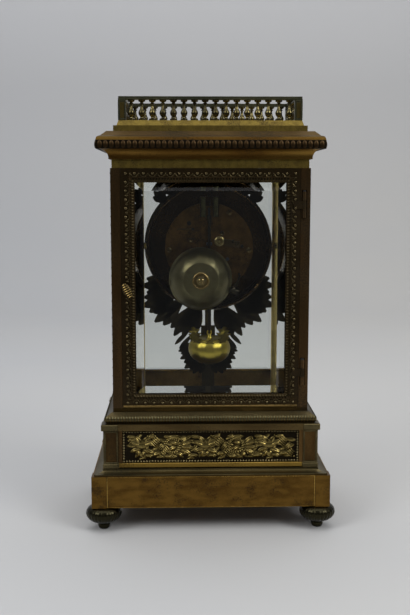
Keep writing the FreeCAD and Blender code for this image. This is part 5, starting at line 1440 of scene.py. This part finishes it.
@dataclass
class Movement:
    """Back plate fittings, drum and bell rings, pendulum bob, foliage, dial figures, sill and uprights."""

    drum_height: float = 293.2
    pillar_nuts: Table = ((43.4, -3.0), (-43.4, -3.0), (21.8, 37.7))
    nut_profile: Profile = (
        (0.2, 0.0), (2.9, 0.0), (2.9, 0.9), (2.2, 1.2), (2.2, 2.4), (1.6, 2.9), (0.2, 3.0))
    boss: tuple[float, float, float] = (10.9, 6.5, 5.4)
    bushes: Table = ((14.1, 15.2, 2.4), (0.0, 27.5, 2.6), (-19.6, 7.5, 2.4), (31.0, 3.0, 3.0))
    studs: Table = ((26.0, 6.6, 1.7, 3.1), (36.0, 1.0, 1.7, 3.1), (-17.5, 19.7, 1.6, 2.1))
    disc_profile: Profile = ((0.2, 0.0), (2.4, 0.0), (2.4, 0.25), (0.2, 0.3))
    cheek_place: float = 6.6
    cheek_screw: float = 7.0
    clamp_screw: float = 3.7
    bezel_beads: int = 110
    bezel_bead: tuple[float, float] = (1.5, 0.85)
    bezel_inset: float = 2.2
    drum_bead: float = 1.3
    bell_ridges: Table = ((0.5, 0.045, 0.45), (2.6, 0.235, 0.3))
    washer_profile: Profile = (
        (6.9, 0.0), (9.0, 0.0), (9.3, 0.9), (8.7, 1.8), (7.9, 2.1), (7.2, 1.7), (6.9, 0.9))
    washer_boss: Profile = ((0.2, 0.0), (3.4, 0.0), (3.3, 0.8), (2.4, 1.3), (1.6, 0.8), (0.2, 0.6))
    # Profile of the dark disc that paints the shade in the washer's recess.
    recess_shade_profile: Profile = ((2.6, 0.0), (7.3, 0.0), (7.2, 0.5), (5.4, 0.4), (2.6, 0.4))
    bob_drop: float = 2.5
    bob_swell: float = 1.07
    bob_profile: Profile = (
        (0.02, 0.0), (0.24, 0.0), (0.34, 0.03), (0.60, 0.09), (0.78, 0.18), (0.90, 0.28), (0.97, 0.40),
        (1.0, 0.52), (0.97, 0.64), (0.90, 0.74), (0.82, 0.81), (0.78, 0.85), (0.74, 0.86), (0.66, 0.83),
        (0.40, 0.80), (0.16, 0.82), (0.12, 0.90), (0.10, 0.95), (0.02, 0.96))
    crown_lean: float = math.radians(-74)
    crown_root: tuple[float, float] = (0.86, 0.66)
    crown_leaves: Table = ((0.50, 0.95, -1.8), (0.24, 0.5, -0.6))
    hook_half_wide: float = 2.2
    hook_half_tall: float = 2.6
    hook_rise: float = 3.2
    hook_bar: float = 0.75
    sill_top: float = 149.0
    sill_place: float = -45.2
    collar_profile: Profile = (
        (0.3, -3.4), (5.0, -3.4), (5.7, -2.7), (5.7, -2.0), (5.1, -1.4), (5.1, 1.4), (5.7, 2.0),
        (5.7, 2.7), (5.0, 3.4), (0.3, 3.4))
    fronds: Table = (
        (28, -46, 75, -46, 22, 1), (26, -53, 75, -70, 24, 1), (20, -56, 61, -88, 24, 1),
        (8, -58, 39, -104, 22, 1), (5, -58, 21, -101, 18, 1), (14, -90, 38, -114, 5, 0),
        (12, -96, 33, -119, 5, 0), (4, -112, 34, -122, 13, 1), (4, -117, 32, -131, 14, 1),
        (3, -124, 27, -142, 16, 1), (2, -120, 17, -148, 18, 1), (42, 45, 61, 60, 15, 1),
        (34, 53, 49, 69, 15, 1), (22, 59, 32, 76, 14, 1), (8, 63, 13, 80, 13, 1))
    stems: Table = ((3.5, -96.0, -58.0), (8.0, -130.0, -92.0))
    foot_stem: tuple[float, float] = (7.0, -122.0)
    ring_section: Profile = ((-0.9, 0.9), (-0.9, -0.85), (4.0, -0.85), (4.4, -0.2), (4.0, 0.7), (2.0, 0.9))
    numerals: tuple[str, ...] = ("XII", "I", "II", "III", "IIII", "V", "VI", "VII", "VIII", "IX", "X", "XI")
    numeral_radius: float = 46.0
    numeral_high: float = 11.0
    track_radius: float = 55.0
    ink_sink: float = -0.05
    ink_deep: float = 0.18
    ink_ease: float = 0.02

    def build(self) -> None:
        """Dress the movement and the pieces that hang from it."""
        low, high = span("drum")
        self.drum_height = (low.z + high.z) / 2
        self.plate_fittings()
        self.drum_rings()
        self.bell_rings()
        self.bob()
        self.surround()
        self.dial_figures()
        self.inner_sill()
        self.uprights()

    def inner_sill(self) -> None:
        """A moulded sill across the case behind the front door's lower rail."""
        floor = span("floor_plate")[1].z
        long = 2 * (span("rear_glass")[1].x + 8.0)
        tall = self.sill_top - floor
        plane = face_of(Side.BACK, self.sill_place, floor + tall / 2)
        sill = Draft()
        sill.block(plane.turned(0.0, 0.0), long, tall, 2.6, 0.5)
        sill.block(plane.turned(0.0, tall / 2 - 1.6), long, 3.2, 3.6, 0.9)
        sill.piece("front_inner_sill", SILL_PATINA)

    def uprights(self) -> None:
        """A half-round face on each upright, and a turned collar over the clamp that holds the drum."""
        rounds, collars = Draft(), Draft()
        for node in ("upright_left", "upright_right"):
            low, high = span(node)
            middle, face = (low.x + high.x) / 2, high.y - 0.3
            path = [Vector((middle, face, z)) for z in (low.z + 0.6, high.z - 0.6)]
            rounds.tube(path, (high.x - low.x) / 2 * 0.92, Vector((1, 0, 0)), 24)
            collars.lathe(self.collar_profile, Matrix.Translation((middle, face, self.drum_height)), 32)
        rounds.piece("upright_rounds", UPRIGHT_BRASS)
        collars.piece("upright_collars", NUT_BRASS)

    def plate_fittings(self) -> None:
        """Pillar nuts, bushes, studs, a bridge, a click spring, suspension cheeks and clamp screws."""
        plane = face_of(Side.BACK, span("back_plate")[1].y, self.drum_height)
        brass, steel, cheeks, boss = Draft(), Draft(), Draft(), Draft()
        for u, v in self.pillar_nuts:
            brass.lathe(self.nut_profile, plane.turned(u, v), 20)
            steel.block(plane.turned(u, v, 2.6, 0.6), 3.4, 0.6, 0.6, 0.1)
        u, v, radius = self.boss
        boss.lathe(bush(radius), plane.turned(u, v), 28)
        for u, v, radius in self.bushes:
            brass.lathe(bush(radius), plane.turned(u, v), 28)
        brass.block(plane.turned(21.0, 4.6, 0.0, -0.17), 24.0, 7.4, 1.6, 0.4)
        brass.block(plane.turned(-25.6, 19.7), 19.0, 1.4, 0.9, 0.2)
        for u, v, radius, tall in self.studs:
            steel.lathe(stud(radius, tall), plane.turned(u, v), 16)
        steel.lathe(self.disc_profile, plane.turned(-21.8, 26.0), 18)
        low, high = span("suspension_cock")
        face = face_of(Side.BACK, high.y, (low.z + high.z) / 2)
        for u in (-self.cheek_place, self.cheek_place):
            cheeks.block(face.turned(u, 0.0, -0.3), 4.8, high.z - low.z - 0.8, 1.5, 0.5)
            for v in (self.cheek_screw, -self.cheek_screw):
                cheeks.dome(face.turned(u, v, 1.1), 1.4, 1.4, 0.7, 12, 3)
        low, high = span("drum_clamps")
        clamp = face_of(Side.BACK, high.y, self.drum_height)
        for u in (low.x + self.clamp_screw, high.x - self.clamp_screw):
            steel.block(clamp.turned(-u, 0.0, -0.05, 0.4), 3.9, 0.8, 0.35, 0.1)
        brass.piece("plate_bushes", BUSH_BRASS)
        boss.piece("plate_boss", NUT_BRASS)
        steel.piece("plate_screws", DARK_STEEL)
        cheeks.piece("suspension_cheeks", COCK_BRASS)

    def drum_rings(self) -> None:
        """A rolled bead on the drum's rear edge and a ring of beads on the bezel."""
        low, high = span("drum")
        edge = face_of(Side.BACK, high.y - 0.5, self.drum_height)
        ring, beads = Draft(), Draft()
        ring.hoop(edge, (high.z - low.z) / 2 * 0.992, round_section(self.drum_bead, 8), 120)
        ring.piece("drum_rear_bead", DRUM_BRASS)
        low, high = span("bezel")
        face = face_of(Side.FRONT, -low.y - 0.9, self.drum_height)
        for angle in turns(self.bezel_beads):
            beads.bead(face.polar((high.x - low.x) / 2 - self.bezel_inset, angle), *self.bezel_bead)
        beads.piece("bezel_beads", BEAD_GILT)

    def bell_rings(self) -> None:
        """Turned ridges on the bell's rim, and a dished washer round a dark disc under its nut that paints
        the shade in its recess.
        """
        low, high = span("bell")
        middle = (low + high) / 2
        radius, deep = (high.x - low.x) / 2, high.y - low.y
        plane = face_of(Side.BACK, low.y, middle.z, middle)
        rings, washer, recess_shade = Draft(), Draft(), Draft()
        for inset, rise, bar in self.bell_ridges:
            rings.hoop(plane, radius - inset, round_section(bar, 6, deep * rise), 96)
        rings.piece("bell_ridges", BELL_METAL)
        top = plane.turned(0.0, 0.0, deep - 0.05)
        washer.lathe(self.washer_profile, top, 48)
        washer.lathe(self.washer_boss, plane.turned(0.0, 0.0, deep + 3.9), 28)
        # Painted shade: a dark disc fills the recess inside the washer's ring.
        recess_shade.lathe(self.recess_shade_profile, top, 40)
        recess_shade.piece("bell_washer_recess_shade", DARK_STEEL)
        washer.piece("bell_washer", WHEEL_BRASS)

    @staticmethod
    def gadroon(share: float, angle: float) -> float:
        """How much the bob sinks between its lobes."""
        return -0.03 * math.exp(-((share - 0.38) / 0.2) ** 2) * (1 - abs(math.cos(angle * 4)) ** 0.6)

    def bob(self) -> None:
        """The gilt bob: a bulging urn with gadroons and a crown of leaves, and the hook that holds it."""
        low, high = span("pendulum_bob")
        middle = (low + high) / 2
        place = Matrix.Translation((middle.x, middle.y, low.z - self.bob_drop))
        radius, tall = (high.x - low.x) / 2, high.z - low.z
        urn, crown, hook = Draft(), Draft(), Draft()
        profile = [(share * radius * self.bob_swell, height * tall) for share, height in self.bob_profile]
        urn.lathe(profile, place, 120, self.gadroon)
        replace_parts(urn.piece("bob_urn", BOB_GILT, "pendulum"), "pendulum_bob")
        lean = Matrix.Rotation(self.crown_lean, 4, "Y")
        root_out, root_rise = self.crown_root
        root = Matrix.Translation((radius * root_out, 0.0, tall * root_rise))
        for index, turn in enumerate(turns(8)):
            long, wide, curl = self.crown_leaves[index % 2]
            spot = place @ Matrix.Rotation(turn + math.pi / 4, 4, "Z") @ root @ lean
            crown.leaf(spot, tall * long, radius * wide, 1.3, 3, curl, 0.7, 0.55)
        crown.piece("bob_crown", BOB_GILT, "pendulum")
        top = place @ Vector((0.0, 0.0, tall * 0.93))
        loop = []
        for angle in turns(14):
            rise = self.hook_rise - self.hook_half_tall * math.cos(angle)
            loop.append(top + Vector((self.hook_half_wide * math.sin(angle), 0.0, rise)))
        hook.tube(loop, self.hook_bar, Vector((0, 1, 0)), 8)
        hook.piece("bob_hook", BOB_GILT, "pendulum")

    def surround(self) -> None:
        """Acanthus foliage round the dial and down to the floor, in place of the plain plate."""
        low, high = span("dial_surround")
        bezel_low, bezel_high = span("bezel")
        plane = face_of(Side.FRONT, -(low.y + high.y) / 2, self.drum_height)
        foliage = Draft()
        for root_u, root_v, tip_u, tip_v, wide, pairs in self.fronds:
            for hand in ENDS:
                root, tip = Vector((hand * root_u, root_v)), Vector((hand * tip_u, tip_v))
                self.add_frond(foliage, plane, root, tip, wide, pairs)
        foliage.hoop(plane, (bezel_high.x - bezel_low.x) / 2 - 3.5, self.ring_section, 96, 0.4)
        half, upper = self.foot_stem
        foot_stem = (half, low.z - self.drum_height + 0.1, upper)
        for half, lower, upper in (*self.stems, foot_stem):
            spot = plane.turned(0.0, (lower + upper) / 2, -0.85)
            foliage.block(spot, half * 2, upper - lower, 1.9, 0.4, 0.5)
        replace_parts(foliage.piece("acanthus_surround", FOLIAGE_DARK), "dial_surround")

    @staticmethod
    def add_frond(draft: Draft, plane: Plane, root: Vector, tip: Vector, wide: float, pairs: int) -> None:
        """A leaf cut into round fingers: one in the middle and pairs that spread from it.

        Args:
            draft: The mesh that it joins.
            plane: The surround's face.
            root: Where it springs from.
            tip: Where its middle finger ends.
            wide: Its greatest width.
            pairs: Pairs of side fingers, 0 for a plain leaf.
        """
        way = tip - root
        long, turn = way.length, math.atan2(way.y, way.x)
        fingers = [(0.0, 0.0, 1.0)]
        for pair in range(pairs):
            share = 0.90 - 0.24 * pair
            lean = math.atan2(wide * (0.42 + 0.20 * pair), long * share)
            fingers += [(0.10, lean, share), (0.10, -lean, share)]
        thick = wide * 0.5 if pairs else wide
        for start, lean, share in fingers:
            spot = plane.turned(root.x + way.x * start, root.y + way.y * start, 0.0, turn + lean)
            draft.leaf(spot, long * share * (1 - start), thick, 1.1, depth=0.85, belly=0.7, rows=14)

    def dial_figures(self) -> None:
        """Roman hours and a minute track on the dial."""
        plane = face_of(Side.FRONT, -span("dial")[0].y, self.drum_height)
        ink = Draft()
        for hour, word in enumerate(self.numerals):
            turn = math.radians(90 - 30 * hour)
            self.add_numeral(ink, plane.polar(self.numeral_radius, turn, self.ink_sink, turn), word)
        for minute, turn in enumerate(turns(60)):
            wide, long = (0.5, 2.0) if minute % 5 else (1.2, 2.6)
            spot = plane.polar(self.track_radius, turn, self.ink_sink, turn)
            ink.block(spot, long, wide, self.ink_deep, self.ink_ease)
        ink.piece("dial_numerals", INK, flat=True)

    def add_numeral(self, draft: Draft, base: Matrix, word: str) -> None:
        """One hour's figure, upright along its radius.

        Args:
            draft: The mesh that it joins.
            base: The figure's middle, with X along the radius.
            word: Letters I, V and X.
        """
        widths = {"I": 2.6, "V": 5.2, "X": 5.6}
        # Each stroke: shift across, lean and width.
        strokes = {"I": [(0.0, 0.0, 1.5)], "V": [(1.1, 0.2, 1.5), (-1.1, -0.2, 0.7)],
                   "X": [(0.0, 0.32, 1.6), (0.0, -0.32, 0.7)]}
        edge = sum(widths[letter] for letter in word) / 2
        for letter in word:
            centre = edge - widths[letter] / 2
            for shift, lean, wide in strokes[letter]:
                spot = base @ Matrix.Translation((0.0, centre + shift, 0.0)) @ Matrix.Rotation(lean, 4, "Z")
                draft.block(spot, self.numeral_high / math.cos(lean), wide, self.ink_deep, self.ink_ease)
            edge -= widths[letter]


@dataclass
class CaseFinishes:
    """Which finish each CAD node keeps."""

    default: Finish = CASE_GILT
    by_node: dict[Finish, tuple[str, ...]] = field(default_factory=lambda: {
        POST_PATINA: ("corner_posts",),
        FRAME_PATINA: ("rear_door_frame", "front_door_frame", "side_frame_left", "side_frame_right"),
        FLOOR_PATINA: ("floor_plate",),
        TOP_GILT: ("architrave", "attic"),
        CORNICE_GILT: ("cornice",),
        GALLERY_GILT: ("gallery_rail", "gallery_posts", "gallery_balusters"),
        PLINTH_GILT: ("plinth",),
        BLOCK_GILT: ("frieze_block",),
        STONE_GILT: ("plinth_moulding",),
        CAP_GILT: ("ledge",),
        KNOB_GILT: ("rear_latch", "front_latch"),
        FILLET_GILT: ("bezel",),
        STEEL: ("anchor", "going_arbor", "strike_arbor", "hinge_pins"),
        DARK_STEEL: ("hammer", "pendulum_rod", "suspension_spring"),
        BLUED: ("hour_hand", "minute_hand"),
        BELL_METAL: ("bell",),
        ENAMEL: ("dial",),
        UPRIGHT_BRASS: ("upright_left", "upright_right", "drum_clamps"),
        PLATE_BRASS: ("front_plate", "back_plate", "plate_pillars"),
        DRUM_BRASS: ("drum", "suspension_cock"),
        NUT_BRASS: ("bell_stand", "bell_nut"),
        WHEEL_BRASS: ("centre_wheel", "hour_wheel", "minute_wheel", "intermediate_wheel", "going_barrel",
                      "third_wheel", "escape_wheel", "strike_barrel", "pin_wheel")})

    def build(self) -> None:
        """Give every node its finish."""
        chosen = {node: finish for finish, nodes in self.by_node.items() for node in nodes}
        for name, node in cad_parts.items():
            finish = chosen.get(name, self.default)
            for slot in node.material_slots:
                slot.material = finish.material()


@dataclass
class Studio:
    """Paper sweep, soft lights, world and the camera at the photograph's place."""

    camera_place: Sequence[float] = (31.1, 991.0, 359.5)
    yaw: float = -1.54
    pitch: float = 7.63
    focal_pixels: float = 908.2
    sweep_front: float = 2600.0
    sweep_back: float = 1500.0
    sweep_radius: float = 700.0
    sweep_half: float = 3500.0
    sweep_high: float = 3200.0
    boxes: dict[str, tuple] = field(default_factory=lambda: {
        "over_box": ((0.0, -0.3, 3.0), (0.0, -0.1, 0.2), 3.4, 56.0),
        "left_box": ((1.5, 1.2, 1.6), (0.0, 0.0, 0.25), 1.0, 16.0),
        "right_box": ((-1.5, 1.2, 1.5), (0.0, 0.0, 0.25), 1.0, 21.0)})

    def build(self) -> None:
        """Set the stage."""
        self.sweep()
        self.world()
        self.lamps()
        self.camera()
        bpy.context.scene.view_settings.view_transform = "Standard"

    def sweep(self) -> None:
        """A paper sheet that runs under the clock and curves up behind it."""
        profile = [(self.sweep_front, 0.0), (0.0, 0.0), (-self.sweep_back, 0.0)]
        for angle in arc(0.0, math.pi / 2, 13)[1:]:
            profile.append((-self.sweep_back - self.sweep_radius * math.sin(angle),
                            self.sweep_radius * (1 - math.cos(angle))))
        profile.append((-self.sweep_back - self.sweep_radius, self.sweep_high))
        points, faces = [], []
        for y, z in profile:
            points += [Vector((-self.sweep_half, y, z)) * MM, Vector((self.sweep_half, y, z)) * MM]
        for index in range(len(profile) - 1):
            faces.append((2 * index, 2 * index + 1, 2 * index + 3, 2 * index + 2))
        mesh = bpy.data.meshes.new("paper_sweep")
        mesh.from_pydata(points, [], faces)
        mesh.shade_smooth()
        mesh.materials.append(PAPER.material())
        sheet = bpy.data.objects.new("paper_sweep", mesh)
        bpy.context.scene.collection.objects.link(sheet)

    @staticmethod
    def world() -> None:
        """A grey room, brighter above and behind the clock than on the camera's side."""
        world = bpy.data.worlds.new("room")
        bpy.context.scene.world = world
        world.use_nodes = True
        sheet = NodeSheet(world.node_tree)
        way = sheet.make("ShaderNodeTexCoord", {}, {}, "Generated")
        above = sheet.part(way, "Z").ramp(0.1, 0.9)
        behind = (0 - sheet.part(way, "Y")).ramp(0.0, 0.8)
        level = 0.06 + above * 0.32 + behind * 0.4 + sheet.seen_directly() * 0.3
        shader = sheet.make("ShaderNodeBackground", {}, {"Color": (0.97, 0.98, 1.0, 1.0), "Strength": level})
        sheet.make("ShaderNodeOutputWorld", {}, {"Surface": shader})

    def lamps(self) -> None:
        """A wide soft box overhead, and one on each side above the camera."""
        for name, facts in self.boxes.items():
            self.lamp(name, *facts)

    @staticmethod
    def lamp(name: str, place: Sequence[float], aim: Sequence[float], wide: float, power: float) -> None:
        """One square soft box.

        Args:
            name: Its name.
            place: Where it stands, in metres.
            aim: What it points at.
            wide: Its width in metres.
            power: Its power in watts.
        """
        data = bpy.data.lights.new(name, "AREA")
        data.size = wide
        data.energy = power
        box = bpy.data.objects.new(name, data)
        box.location = place
        box.rotation_mode = "QUATERNION"
        box.rotation_quaternion = (Vector(aim) - Vector(place)).to_track_quat("-Z", "Y")
        bpy.context.scene.collection.objects.link(box)

    def camera(self) -> None:
        """The camera, where the photograph was taken from."""
        data = bpy.data.cameras.new("photo_camera")
        data.sensor_width = SENSOR_LONG
        data.lens = self.focal_pixels / PHOTO_HIGH * SENSOR_LONG
        eye = bpy.data.objects.new("photo_camera", data)
        turn, dip = math.radians(self.yaw), math.radians(self.pitch)
        look = Vector((math.sin(turn) * math.cos(dip), -math.cos(turn) * math.cos(dip), -math.sin(dip)))
        eye.location = Vector(self.camera_place) * MM
        eye.rotation_mode = "QUATERNION"
        eye.rotation_quaternion = look.to_track_quat("-Z", "Y")
        bpy.context.scene.collection.objects.link(eye)
        bpy.context.scene.camera = eye


def main() -> None:
    """Build the sub-assemblies in order."""
    logging.basicConfig(level=logging.INFO, format="%(name)s %(message)s")
    for part in (CaseFinishes(), TopOrnament(), GlazedFrames(), BaseOrnament(), Movement(), Studio()):
        part.build()
        LOG.info("%s done", type(part).__name__)


if __name__ == "__main__":
    main()
